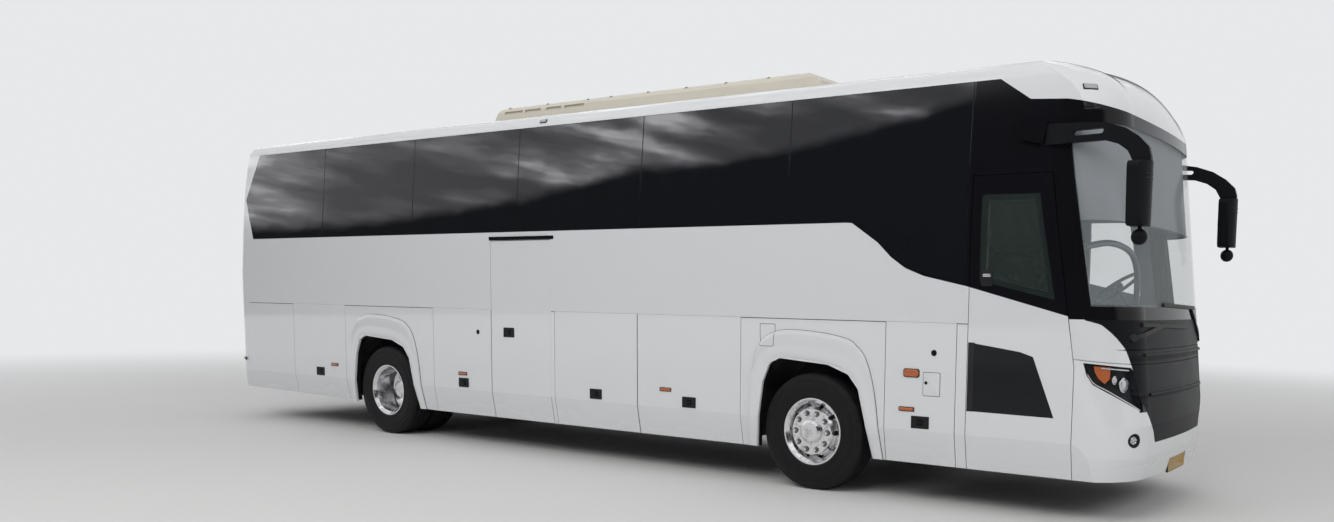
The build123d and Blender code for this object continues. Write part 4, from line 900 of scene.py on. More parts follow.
def seated(met):
    """The node that a ray met, and a place on its surface."""
    node, point, normal = met
    return node, seat_on(point, normal)


def round_turns(steps):
    """The cosine and sine of even turns all round."""
    return [(math.cos(math.tau * step / steps), math.sin(math.tau * step / steps)) for step in range(steps)]


def circle(radius, steps=24):
    """Outlines of a circle at an inset."""
    return lambda inset: [((radius - inset) * x, (radius - inset) * y) for x, y in round_turns(steps)]


def oblong(width, height, radius):
    """Outlines of a rounded rectangle at an inset."""
    def outline(inset):
        round_off = max(radius - inset, 0.0002)
        points = []
        for quarter, (right, up) in enumerate(((1, 1), (-1, 1), (-1, -1), (1, -1))):
            for step in range(5):
                turn = math.radians(90 * quarter + 22.5 * step)
                points.append((right * (width / 2 - radius) + round_off * math.cos(turn),
                               up * (height / 2 - radius) + round_off * math.sin(turn)))
        return points
    return outline


def raised(height, edge, sunk=0.003):
    """Insets and heights of a solid that stands on a surface, with a bevelled edge."""
    return [(0, -sunk), (0, height - edge), (edge * 0.3, height - edge * 0.3), (edge, height)]


def smooth_path(points, steps=8):
    """More points on a soft line through these."""
    points = [Vector(point) for point in points]
    whole = [2 * points[0] - points[1], *points, 2 * points[-1] - points[-2]]
    line = []
    for a, b, c, d in zip(whole, whole[1:], whole[2:], whole[3:]):
        for step in range(steps):
            t = step / steps
            line.append(0.5 * (2 * b + (c - a) * t + (2 * a - 5 * b + 4 * c - d) * t ** 2
                               + (3 * b - a - 3 * c + d) * t ** 3))
    return line + [points[-1]]


def even_steps(line, steps):
    """Points at even distances along a line of points."""
    reach = [0.0]
    for near, far in zip(line, line[1:]):
        reach.append(reach[-1] + (far - near).length)
    points = []
    place = 0
    for step in range(steps + 1):
        goal = reach[-1] * step / steps
        while place < len(line) - 2 and reach[place + 1] < goal:
            place += 1
        share = (goal - reach[place]) / (reach[place + 1] - reach[place])
        points.append(line[place].lerp(line[place + 1], share))
    return points


def half_width(height):
    """How far the flat sides stand from the middle at a height."""
    for (low, near), (high, far) in zip(HALF_WIDTHS, HALF_WIDTHS[1:]):
        if height <= high:
            return near + (far - near) * max(0.0, (height - low) / (high - low))
    return HALF_WIDTHS[-1][1]


def inside(point, outline):
    """Whether a flat point lies inside an outline."""
    held = False
    for (x0, y0), (x1, y1) in zip(outline, outline[1:] + outline[:1]):
        if (y0 > point[1]) != (y1 > point[1]) and point[0] < (x1 - x0) * (point[1] - y0) / (y1 - y0) + x0:
            held = not held
    return held


class Shape:
    """The faces of one piece, in the frame's own place."""

    def __init__(self):
        self.mesh = bmesh.new()

    def rows(self, rows, ring=True, ends=False):
        """A skin through rows of points, each a ring or open, with faces over both ends if asked."""
        made = [[self.mesh.verts.new(point) for point in row] for row in rows]
        count = len(made[0])
        for near, far in zip(made, made[1:]):
            for index in range(count if ring else count - 1):
                after = (index + 1) % count
                self.mesh.faces.new((near[index], near[after], far[after], far[index]))
        if ends:
            self.mesh.faces.new(made[0][::-1])
            self.mesh.faces.new(made[-1])

    def block(self, place, outline, profile):
        """A solid on a place: its outline at each inset and height of a profile."""
        self.rows([[place @ Vector((x, y, height)) for x, y in outline(inset)] for inset, height in profile],
                  ends=True)

    def turned(self, place, profile, steps=48):
        """What a profile of heights and radii makes, turned about a place's own Z."""
        turns = round_turns(steps)
        self.rows([[place @ Vector((radius * x, radius * y, height)) for x, y in turns]
                   for height, radius in profile])

    def tube(self, path, radius, steps=12):
        """A round bar along a path."""
        rows = []
        side = None
        for index, point in enumerate(path):
            ahead = (path[min(index + 1, len(path) - 1)] - path[max(index - 1, 0)]).normalized()
            side = ahead.orthogonal() if side is None else side - ahead * side.dot(ahead)
            side.normalize()
            other = ahead.cross(side)
            rows.append([point + radius * (side * x + other * y) for x, y in round_turns(steps)])
        self.rows(rows, ends=True)

    def pad(self, place, size, box, swell=0.0, seams=()):
        """A stuffed pad: a box rounded all over, its faces swollen and drawn in along upright seams."""
        along, across, up = (length / 2 for length in size)
        rows = []
        for tier in range(13):
            lift = math.radians(-90 + 15 * tier)
            row = []
            for step in range(32):
                turn = math.tau * step / 32
                x, y, z = (math.copysign(abs(value) ** box, value)
                           for value in (math.cos(turn), math.sin(turn), math.sin(lift)))
                ring = abs(math.cos(lift)) ** box
                x, y = x * ring, y * ring
                puff = swell * max(0, 1 - y * y) * max(0, 1 - z * z)
                puff -= sum(0.006 * math.exp(-((y - seam) / 0.06) ** 2) for seam in seams)
                row.append(place @ Vector((x * (along + puff), y * across, z * up)))
            rows.append(row)
        self.rows(rows)

    def sheet(self, outline, step, land, top, bottom):
        """A thin solid that follows a surface under a flat outline; land gives the point and its normal."""
        border = []
        for start, end in zip(outline, outline[1:] + outline[:1]):
            pieces = max(1, round(math.dist(start, end) / step))
            border += [Vector(start).lerp(Vector(end), piece / pieces) for piece in range(pieces)]
        across = [point[0] for point in outline]
        up = [point[1] for point in outline]
        inner = [Vector((min(across) + (i + 0.5) * step, min(up) + (j + 0.5) * step))
                 for i in range(int((max(across) - min(across)) / step))
                 for j in range(int((max(up) - min(up)) / step))]
        inner = [point for point in inner if inside(point, outline)
                 and min((point - edge).length for edge in border) > step * 0.4]
        loop = [(index, (index + 1) % len(border)) for index in range(len(border))]
        flat, _, faces = delaunay_2d_cdt(border + inner, loop, [], 1, 1e-6)[:3]
        landed = [land(*point)[1:] for point in flat]
        upper = [self.mesh.verts.new(point + normal * top) for point, normal in landed]
        lower = [self.mesh.verts.new(point + normal * bottom) for point, normal in landed]
        edges = {}
        for face in faces:
            self.mesh.faces.new([upper[index] for index in face])
            self.mesh.faces.new([lower[index] for index in reversed(face)])
            for start, end in zip(face, face[1:] + face[:1]):
                edges.setdefault(frozenset((start, end)), []).append((start, end))
        for uses in edges.values():
            if len(uses) == 1:
                start, end = uses[0]
                self.mesh.faces.new((upper[end], upper[start], lower[start], lower[end]))

    def closed_mesh(self, name):
        """The gathered faces as a mesh, with shared corners joined and normals outwards."""
        bmesh.ops.remove_doubles(self.mesh, verts=self.mesh.verts, dist=2e-6)
        bmesh.ops.recalc_face_normals(self.mesh, faces=self.mesh.faces)
        mesh = bpy.data.meshes.new(name)
        self.mesh.to_mesh(mesh)
        self.mesh.free()
        return mesh

    def done(self, name, body, maker, slot, replaced=()):
        """The finished piece on its body."""
        return placed(self.closed_mesh(name), name, body, maker, replaced)


def placed(mesh, name, body, maker, replaced=()):
    """An object of a finished mesh that rides on a body, in its material."""
    mesh.polygons.foreach_set("use_smooth", [True] * len(mesh.polygons))
    mesh.set_sharp_from_angle(angle=SHARP_ANGLE)
    mesh.materials.clear()
    mesh.materials.append(finish(maker))
    thing = bpy.data.objects.new(name, mesh)
    bpy.context.scene.collection.objects.link(thing)
    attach(thing, body)
    if replaced:
        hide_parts(*replaced)
    return thing


class Kit:
    """Shapes of several kinds, kept apart by the body that each rides on."""

    def __init__(self):
        self.shapes = {}

    def on(self, kind, node):
        return self.shapes.setdefault((kind, NODES[node]["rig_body"]), Shape())

    def done(self, looks):
        """Finish every shape: looks gives each kind its material's maker and the record's slot."""
        for (kind, body), shape in self.shapes.items():
            shape.done(f"{kind}_{body}", body, *looks[kind])


class RepeatTree:
    """A Geometry Nodes tree that repeats the mesh it is given."""

    def __init__(self, name, inputs):
        self.group = bpy.data.node_groups.new(name, "GeometryNodeTree")
        self.sockets = {}
        sides = self.group.interface
        for label, kind in [("Geometry", "NodeSocketGeometry"), *inputs, ("Material", "NodeSocketMaterial")]:
            self.sockets[label] = sides.new_socket(label, in_out="INPUT", socket_type=kind).identifier
        sides.new_socket("Geometry", in_out="OUTPUT", socket_type="NodeSocketGeometry")
        self.given = self.group.nodes.new("NodeGroupInput").outputs

    def node(self, kind, links, **settings):
        """A node, its settings and what its inputs take: a socket or a value."""
        node = self.group.nodes.new(kind)
        for name, setting in settings.items():
            setattr(node, name, setting)
        for name, value in links.items():
            if isinstance(value, bpy.types.NodeSocket):
                self.group.links.new(value, node.inputs[name])
            else:
                node.inputs[name].default_value = value
        return node.outputs[0]

    def close(self, instances):
        """End the tree: make the instances real and give them their material."""
        real = self.node("GeometryNodeRealizeInstances", {"Geometry": instances})
        dressed = self.node("GeometryNodeSetMaterial", {"Geometry": real, "Material": self.given["Material"]})
        result = self.group.nodes.new("NodeGroupOutput")
        self.group.links.new(dressed, result.inputs[0])
        return self

    def grow(self, mesh, values):
        """The plain mesh that the tree makes of a mesh with these values."""
        thing = bpy.data.objects.new("source", mesh)
        bpy.context.scene.collection.objects.link(thing)
        modifier = thing.modifiers.new("repeat", "NODES")
        modifier.node_group = self.group
        for label, value in values.items():
            modifier[self.sockets[label]] = value
        graph = bpy.context.evaluated_depsgraph_get()
        grown = bpy.data.meshes.new_from_object(thing.evaluated_get(graph))
        thing.modifiers.remove(modifier)
        bpy.data.objects.remove(thing)
        return grown


def ring_tree():
    """Copies evenly round a ring about an axis across the coach."""
    tree = RepeatTree("ring_of_copies", [("Count", "NodeSocketInt"), ("Radius", "NodeSocketFloat"),
                                         ("Centre", "NodeSocketVector")])
    given = tree.given
    ring = tree.node("GeometryNodeMeshCircle", {"Vertices": given["Count"], "Radius": given["Radius"]})
    share = tree.node("ShaderNodeMath", {0: tree.node("GeometryNodeInputIndex", {}), 1: given["Count"]},
                      operation="DIVIDE")
    turn = tree.node("ShaderNodeMath", {0: share, 1: math.tau}, operation="MULTIPLY")
    spin = tree.node("ShaderNodeCombineXYZ", {"Z": turn})
    copies = tree.node("GeometryNodeInstanceOnPoints", {"Points": ring, "Instance": given["Geometry"],
                                                        "Rotation": spin})
    upright = tree.node("GeometryNodeTransform", {"Geometry": copies, "Translation": given["Centre"],
                                                  "Rotation": (math.radians(90), 0, 0)})
    return tree.close(upright)


def row_tree():
    """Copies one behind another."""
    tree = RepeatTree("rows_of_copies", [("Count", "NodeSocketInt"), ("Step", "NodeSocketVector")])
    line = tree.node("GeometryNodeMeshLine", {"Count": tree.given["Count"], "Offset": tree.given["Step"]})
    copies = tree.node("GeometryNodeInstanceOnPoints", {"Points": line, "Instance": tree.given["Geometry"]})
    return tree.close(copies)


class COACH_OT_finish_frame(bpy.types.Operator):
    """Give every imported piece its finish"""
    bl_idname = "coach.finish_frame"
    bl_label = "Finish the frame"

    def execute(self, context):
        for maker, names in CAD_FINISHES.items():
            material = finish(maker)
            for name in names:
                slots = NODES[name].data.materials
                slots.clear()
                slots.append(material)
        return {"FINISHED"}


def seen_rays(tree):
    """1 for the rays that the camera, metal or glass sends out."""
    path = tree.nodes.new("ShaderNodeLightPath")
    total = path.outputs["Is Camera Ray"]
    for name in ("Is Glossy Ray", "Is Transmission Ray"):
        add = tree.nodes.new("ShaderNodeMath")
        add.operation = "MAXIMUM"
        tree.links.new(total, add.inputs[0])
        tree.links.new(path.outputs[name], add.inputs[1])
        total = add.outputs[0]
    return total


def wheel_body(axle, side):
    return f"wheel_{axle}_{side}"


def wheel_hub(axle):
    return FRONT_HUB if axle == "front" else REAR_HUB


class COACH_OT_tyres(bpy.types.Operator):
    """Make the tyres, with their grooves and the rings on their sidewalls"""
    bl_idname = "coach.tyres"
    bl_label = "Tyres"

    def execute(self, context):
        upright = Matrix.Rotation(math.pi / 2, 4, "X")
        for side, sign in SIDES:
            for node, axle, maker in (("tyre_front", "front", front_rubber),
                                      ("tyres_rear", "rear", rear_rubber)):
                shape = Shape()
                hub = wheel_hub(axle)
                for middle in TYRE_MIDDLES[node]:
                    place = Matrix.Translation((hub.x, sign * middle, hub.z)) @ upright
                    shape.turned(place, self.section(), 120)
                name = f"{node}_{side}"
                shape.done(f"dressed_{name}", wheel_body(axle, side), maker, "tyre_rubber", [name])
        return {"FINISHED"}

    def section(self):
        """A tyre's closed section: places across from its middle and distances from the axle."""
        half = []
        for groove in GROOVES:
            half += [(groove + GROOVE_HALF + 0.002, 0), (groove + GROOVE_HALF, GROOVE_DEPTH),
                     (groove - GROOVE_HALF, GROOVE_DEPTH), (groove - GROOVE_HALF - 0.002, 0)]
        tread = [(TREAD_HALF, 0)] + half
        crown = [(across, TYRE_RADIUS - CROWN_DROP * (across / TREAD_HALF) ** 2 - depth)
                 for across, depth in tread]
        side = SIDEWALL + crown
        return side + [(-across, reach) for across, reach in reversed(side)] + side[:1]


class COACH_OT_wheel_details(bpy.types.Operator):
    """Make the wheel nuts, the dark discs of painted shade round them and the valves"""
    bl_idname = "coach.wheel_details"
    bl_label = "Wheel details"

    def execute(self, context):
        tree = ring_tree()
        for side, sign in SIDES:
            for axle in ("front", "rear"):
                body = wheel_body(axle, side)
                face, hole_shade = RIM_FACES[f"wheel_{axle}"]
                hub = wheel_hub(axle)
                centre = (hub.x, sign * face, hub.z)
                for kind, maker, slot, mesh in (
                        ("nuts", nut_steel, "polished_rim", self.nut(sign)),
                        # Dark discs of painted shade round the nuts
                        ("nut_hole_shades", trim_plastic, "black_panel", self.hole_shade(sign, hole_shade))):
                    grown = tree.grow(mesh, {"Count": NUTS, "Radius": STUD_RING, "Centre": centre,
                                             "Material": finish(maker)})
                    placed(grown, f"{kind}_{body}", body, maker)
                self.valve(body, hub, sign, face)
        return {"FINISHED"}

    def upright(self, sign):
        """The ring lies flat before it is raised, so what points out of the wheel first points down or up."""
        return Matrix.Rotation(math.pi if sign > 0 else 0, 4, "X")

    def nut(self, sign):
        """A hexagonal nut on a flange."""
        shape = Shape()
        place = self.upright(sign)
        shape.block(place, circle(trim().nut + 0.003, 20), raised(0.006, 0.0015, 0))
        shape.block(place @ Matrix.Translation((0, 0, 0.005)), circle(trim().nut, 6), raised(0.019, 0.003, 0))
        return shape.closed_mesh("nut")

    def hole_shade(self, sign, radius):
        """Painted shade round a nut: a thin dark disc."""
        shape = Shape()
        shape.block(self.upright(sign), circle(radius, 28), raised(0.0018, 0.0006, 0.001))
        return shape.closed_mesh("hole_shade")

    def valve(self, body, hub, sign, face):
        """A valve stem just inside the rim's flange."""
        shape = Shape()
        way = Vector((math.cos(VALVE_TURN), 0, math.sin(VALVE_TURN)))
        foot = Vector((hub.x, sign * (face - 0.06), hub.z)) + way * VALVE_RING
        tip = foot + Vector((0, sign * 0.05, 0)) - way * 0.012
        shape.tube([foot, foot.lerp(tip, 0.5), tip], 0.0055)
        shape.done(f"valve_{body}", body, nut_steel, "polished_rim")


class COACH_OT_lamps(bpy.types.Operator):
    """Make what shows inside the headlamps and the fog lamps"""
    bl_idname = "coach.lamps"
    bl_label = "Lamps"

    def execute(self, context):
        housing, orange, bright, lenses = Shape(), Shape(), Shape(), Shape()
        for _, sign in SIDES:
            def land(along, height):
                return on_corner(along, height, sign)
            housing.sheet(HEADLAMP, 0.03, land, -HEADLAMP_DEPTH, -HEADLAMP_DEPTH - 0.004)
            orange.sheet(INDICATOR, 0.012, land, -0.02, -HEADLAMP_DEPTH)
            for line, radius in ((LAMP_PIPE, 0.006), (LAMP_EDGE, 0.005)):
                route = []
                for along, height, _ in smooth_path([(*point, 0) for point in line], 6):
                    _, point, normal = land(along, height)
                    route.append(point - normal * 0.014)
                bright.tube(route, radius)
            for along, height, radius in PROJECTORS:
                _, point, normal = land(along, height)
                self.projector(point - normal * (0.014 + radius * 0.5), sign, radius, bright, lenses)
            self.fog_lamp(sign, housing, bright, lenses)
        housing.done("lamp_housings", "root", trim_plastic, "black_panel")
        orange.done("lamp_indicators", "root", orange_lens, "lamp_lens")
        bright.done("lamp_rims", "root", bright_metal, "polished_rim")
        lenses.done("lamp_projectors", "root", projector_glass, "lamp_lens")
        return {"FINISHED"}

    def projector(self, point, sign, radius, bright, lenses):
        """A round lens in a bright ring, looking ahead and a little outwards."""
        way = Vector((math.cos(PROJECTOR_TURN), sign * math.sin(PROJECTOR_TURN), 0))
        place = seat_on(point, way)
        bright.turned(place, [(-0.03, radius * 0.6), (-0.012, radius), (0.002, radius * 1.04),
                              (0.003, radius * 0.9), (-0.004, radius * 0.86), (-0.03, radius * 0.55),
                              (-0.03, radius * 0.6)])
        lenses.turned(place, [(-0.012, POINTED), (-0.012, radius * 0.86), (0.002, radius * 0.84),
                              (0.010, radius * 0.6), (0.015, radius * 0.3), (0.0165, POINTED)])

    def fog_lamp(self, sign, housing, bright, lenses):
        """A ring and a small lens behind the fog lamp's cover."""
        across, height, radius = FOG_LAMP
        _, point, normal = on_front(sign * across, height)
        place = seat_on(point - normal * 0.008, normal)
        housing.turned(place, [(-0.03, POINTED), (-0.03, radius), (0.010, radius * 0.98),
                               (0.012, radius * 0.9), (0.004, radius * 0.84), (-0.012, radius * 0.7),
                               (-0.014, POINTED)])
        bright.turned(place, [(-0.014, radius * 0.5), (-0.004, radius * 0.62), (-0.002, radius * 0.58),
                              (-0.012, radius * 0.46), (-0.014, radius * 0.5)])
        lenses.turned(place, [(-0.013, POINTED), (-0.012, radius * 0.46), (-0.004, radius * 0.36),
                              (0.0, radius * 0.18), (0.001, POINTED)])


class COACH_OT_plates(bpy.types.Operator):
    """Make the blank number plates"""
    bl_idname = "coach.plates"
    bl_label = "Number plates"

    def execute(self, context):
        kit = Kit()
        front, back = PLATE_HEIGHTS
        width, height = PLATE_SIZE
        for node, spot, normal in (on_front(0, front), on_back(0, back)):
            level = Vector((math.copysign(1, normal.x), 0, 0))
            place = seat_on(spot + level * 0.004, level)
            base = oblong(width + PLATE_MARGIN, height + PLATE_MARGIN, 0.008)
            kit.on("plate_base", node).block(place, base, raised(0.004, 0.001, 0.012))
            kit.on("plate", node).block(
                place @ Matrix.Translation((0, 0, 0.004)), oblong(width, height, 0.008),
                [(0, -0.001), (0, 0.0016), (0.002, 0.003), (0.005, 0.003), (0.0065, 0.0022)])
        kit.done({"plate_base": (trim_plastic, "black_panel"), "plate": (plate_coating, "white_paint")})
        return {"FINISHED"}


class COACH_OT_fittings(bpy.types.Operator):
    """Make the locks, caps, markers and small flaps on the sides"""
    bl_idname = "coach.fittings"
    bl_label = "Side fittings"

    LOOKS = {"seals": (trim_plastic, "black_panel"), "lock_faces": (front_plastic, "black_panel"),
             "bright_fittings": (bright_metal, "polished_rim"), "orange_lamps": (orange_lens, "lamp_lens"),
             "small_flaps": (body_paint, "white_paint"), "pale_lamps": (pale_lens, "lamp_lens")}

    def execute(self, context):
        kit = Kit()
        for side, sign in SIDES:
            for spot in LOCKS if side == "right" else self.far_locks():
                self.lock(kit, on_side(*spot, sign))
            for spot in SIDE_MARKERS:
                self.lamp(kit, on_side(*spot, sign), "orange_lamps", 0.135, 0.026)
            for spot in CAPS:
                self.cap(kit, on_side(*spot, sign))
            self.lamp(kit, on_side(*SIDE_INDICATOR, sign), "orange_lamps", 0.14, 0.06)
            self.lamp(kit, on_side(*ROOF_LAMP, sign), "pale_lamps", 0.09, 0.032)
            self.cap_marker(kit, sign)
        self.small_flap(kit, on_side(*FILLER_FLAP, -1), 0.15, 0.19)
        self.catch(kit, on_side(*FILLER_CATCH, -1))
        self.handle(kit, on_side(*DOOR_HANDLE, -1))
        for spot in BACK_LOCKS:
            self.lock(kit, on_back(*spot))
        kit.done(self.LOOKS)
        return {"FINISHED"}

    def far_locks(self):
        """One lock low in the middle of each flap on the driver's side."""
        spots = []
        for name in NODES:
            if "flap_left" in name:
                low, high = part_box(name)
                spots.append(((low.x + high.x) / 2 - FRONT_HUB.x, FAR_LOCK_Z))
        return spots

    def lock(self, kit, met):
        """A wide dark plate with a dished grip and a turning lock."""
        node, place = seated(met)
        size = trim().lock
        kit.on("seals", node).block(place, oblong(size, size * 0.62, 0.006),
                                    [(0, -0.003), (0, 0.004), (0.001, 0.005), (0.010, 0.005),
                                     (0.014, 0.0015)])
        kit.on("lock_faces", node).block(place, oblong(size * 0.34, size * 0.34, 0.006),
                                         raised(0.0045, 0.001, 0))
        kit.on("seals", node).block(place, oblong(size * 0.2, size * 0.05, 0.002), raised(0.0052, 0.0004, 0))

    def catch(self, kit, met):
        """A small round catch."""
        node, place = seated(met)
        kit.on("seals", node).block(place, circle(0.014), raised(0.006, 0.001))

    def lamp(self, kit, met, kind, width, height):
        """A small lamp on a dark foot."""
        node, place = seated(met)
        kit.on("seals", node).block(place, oblong(width + 0.012, height + 0.012, height * 0.35),
                                    raised(0.005, 0.001))
        kit.on(kind, node).block(place, oblong(width, height, height * 0.42),
                                 [(0, 0.004), (0, 0.010), (0.003, 0.014), (0.008, 0.016)])

    def cap(self, kit, met):
        """A round cap in a thin dark seat."""
        node, place = seated(met)
        kit.on("seals", node).block(place, circle(0.026), raised(0.0015, 0.0005))
        kit.on("lock_faces", node).block(place, circle(0.021), raised(0.004, 0.0015, 0))

    def small_flap(self, kit, met, width, height):
        """A small painted flap that stands in a dark gap."""
        node, place = seated(met)
        kit.on("seals", node).block(place, oblong(width + 0.008, height + 0.008, 0.012),
                                    raised(0.0012, 0.0004))
        kit.on("small_flaps", node).block(place, oblong(width, height, 0.009), raised(0.003, 0.0012))

    def handle(self, kit, met):
        """A flush handle with a bright bar over a dark dish."""
        node, place = seated(met)
        kit.on("seals", node).block(place, oblong(0.10, 0.13, 0.018), raised(0.005, 0.0015))
        kit.on("bright_fittings", node).block(place @ Matrix.Translation((0, 0.02, 0)),
                                              oblong(0.07, 0.022, 0.008), raised(0.012, 0.003, 0))

    def cap_marker(self, kit, sign):
        """A small lamp on the corner of the roof's cap."""
        node, place = seated(on_corner(*CAP_MARKER, sign))
        kit.on("seals", node).block(place, oblong(0.118, 0.052, 0.008), raised(0.004, 0.001, 0.012))
        kit.on("pale_lamps", node).block(place, oblong(0.104, 0.040, 0.006),
                                         [(0, 0), (0, 0.007), (0.003, 0.010)])


class COACH_OT_arches(bpy.types.Operator):
    """Make the rounded lips of the wheel arches, dark strips of painted shade in the seams of the fixed
    panels, and the seals of the panes
    """
    bl_idname = "coach.arches"
    bl_label = "Wheel arches"

    def execute(self, context):
        kit = Kit()
        for side, sign in SIDES:
            for axle in (FRONT_HUB.x, REAR_HUB.x):
                self.lip(kit, axle, sign)
            for rear, front in self.fixed_spans(side):
                self.seam(kit, rear, front, sign)
            for ahead in PANE_SEALS:
                node, place = seated(on_side(ahead, (BELT + WINDOW_TOP) / 2, sign))
                kit.on("pane_seals", node).block(place, oblong(*PANE_SEAL_SIZE, 0.002),
                                                 raised(0.0012, 0.0004, 0.001))
            self.hatch(kit, sign)
        self.flap_corner(kit)
        kit.done({"arch_lips": (body_paint, "white_paint"), "flap_corners": (body_paint, "white_paint"),
                  "panel_seams": (trim_plastic, "black_panel"), "pane_seals": (black_gloss, "black_panel")})
        return {"FINISHED"}

    def lip(self, kit, axle, sign):
        """A lip that swells out of the side round a wheel, and the thin shadow line round it."""
        outer, inner = ([Vector((axle + point.x, 0, point.z)) for point in even_steps(
            smooth_path([(ahead, 0, height) for ahead, height in line], 12), ARCH_STEPS)]
            for line in (ARCH_LIP, ARCH_OPENING))
        rings = []
        for near, far in zip(outer, inner):
            ring = []
            for share, proud in LIP_SECTION:
                point = near.lerp(far, share)
                ring.append(Vector((point.x, sign * (half_width(point.z) + proud), point.z)))
            rings.append(ring)
        kit.on("arch_lips", "lower_panels").rows(rings, ends=True)
        # A dark tube as painted shadow along the lip's outer edge
        edge = [Vector((point.x, sign * (half_width(point.z) + 0.001), point.z)) for point in outer]
        kit.on("panel_seams", "lower_panels").tube(edge, 0.0035, 8)

    def hatch(self, kit, sign):
        """A dark line of painted shade in the gap round a small hatch that lies across the front arch's lip.
        """
        lips = BVHTree.FromBMesh(kit.on("arch_lips", "lower_panels").mesh)
        outline = [Vector((FRONT_HUB.x + ahead, 0, height)) for ahead, height in ARCH_HATCH + ARCH_HATCH[:1]]
        route = []
        for point in even_steps(outline, 60):
            point.y = sign * half_width(point.z)
            met = lips.ray_cast(point + Vector((0, sign, 0)), Vector((0, -sign, 0)))[0]
            route.append(point if met is None else met)
        kit.on("panel_seams", "lower_panels").tube(route, 0.0022, 6)

    def flap_corner(self, kit):
        """A thin skin over the lower rear corner of the first luggage flap."""
        node = "luggage_flap_right_1"
        width, foot, top = FLAP_CORNER
        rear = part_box(node)[0].x - FRONT_HUB.x + 0.001
        outline = [(rear, foot), (rear + width, foot), (rear + width, top), (rear, top)]

        def land(ahead, height):
            return node, Vector((FRONT_HUB.x + ahead, -half_width(height), height)), Vector((0, -1, 0))
        kit.on("flap_corners", node).sheet(outline, 0.05, land, 0.001, -0.003)

    def fixed_spans(self, side):
        """The stretches between the flaps of a side, from the rear seam to the front axle's flap or door."""
        moving = [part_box(name) for name in NODES
                  if f"flap_{side}" in name or (name == "mid_door" and side == "right")]
        ends = sorted((low.x, high.x) for low, high in moving)
        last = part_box("entrance_door")[0].x if side == "right" else FRONT_HUB.x + SIDE_ENDS[1]
        starts = [FRONT_HUB.x + SIDE_ENDS[0] + 0.01, *(high for low, high in ends)]
        return list(zip(starts, [*(low for low, high in ends), last]))

    def seam(self, kit, rear, front, sign):
        """A dark strip of painted shade over a fixed panel's seam."""
        if front - rear > SEAM_LEAST:
            middle = (rear + front) / 2 - FRONT_HUB.x
            node, place = seated(on_side(middle, SEAM_Z, sign))
            kit.on("panel_seams", node).block(place, oblong(front - rear - 0.008, SEAM_WIDTH, 0.001),
                                              raised(0.0008, 0.0003, 0.001))


class COACH_OT_roof_and_mirrors(bpy.types.Operator):
    """Make the bolts of the roof unit, and the feet, glasses and ribs of the mirrors"""
    bl_idname = "coach.roof_and_mirrors"
    bl_label = "Roof and mirrors"

    def execute(self, context):
        kit = Kit()
        for _, sign in SIDES:
            for ahead in COVER_BOLTS:
                node, place = seated(on_side(ahead, COVER_BOLT_Z, sign))
                kit.on("cover_bolts", node).turned(place, [(-0.004, POINTED), (-0.004, 0.017), (0.004, 0.016),
                                                           (0.009, 0.010), (0.011, POINTED)], 20)
            self.glass(kit, sign)
            self.foot(kit, sign)
        kit.done({"cover_bolts": (nut_steel, "polished_rim"), "mirror_feet": (black_gloss, "black_panel"),
                  "mirror_glasses": (mirror_glass, "polished_rim"),
                  "mirror_ribs": (trim_plastic, "black_panel")})
        return {"FINISHED"}

    def foot(self, kit, sign):
        """The moulded foot that a mirror's arm grows out of."""
        walls = ["dark_glass", "side_wall_right", "side_wall_left"]
        kit.on("mirror_feet", "mirrors").sheet(MIRROR_FOOT, 0.04, lambda ahead, height: meet(
            Vector((FRONT_HUB.x + ahead, 3 * sign, height)), Vector((0, -sign, 0)), walls), 0.035, -0.002)

    def glass(self, kit, sign):
        """Two panes on the back of a mirror's head, and the ribs round its top."""
        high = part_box("mirrors")[1]
        back = high.x - MIRROR_DEPTH
        middle = sign * (high.y - MIRROR_WIDTH / 2)
        for height, tall, wide in MIRROR_PANES:
            place = seat_on(Vector((back, middle, height)), Vector((-1, 0, 0)))
            kit.on("mirror_ribs", "mirrors").block(place, oblong(wide + 0.014, tall + 0.014, 0.04),
                                                   raised(0.003, 0.001))
            kit.on("mirror_glasses", "mirrors").block(place, oblong(wide, tall, 0.034),
                                                      [(0, 0), (0, 0.004), (0.002, 0.005), (0.02, 0.0056)])
        half = MIRROR_WIDTH / 2 - 0.05
        for height in MIRROR_RIBS:
            route = [on_front(middle + half * (step / 8 - 1), height, ["mirrors"])[1] for step in range(17)]
            kit.on("mirror_ribs", "mirrors").tube(route, 0.004, 8)


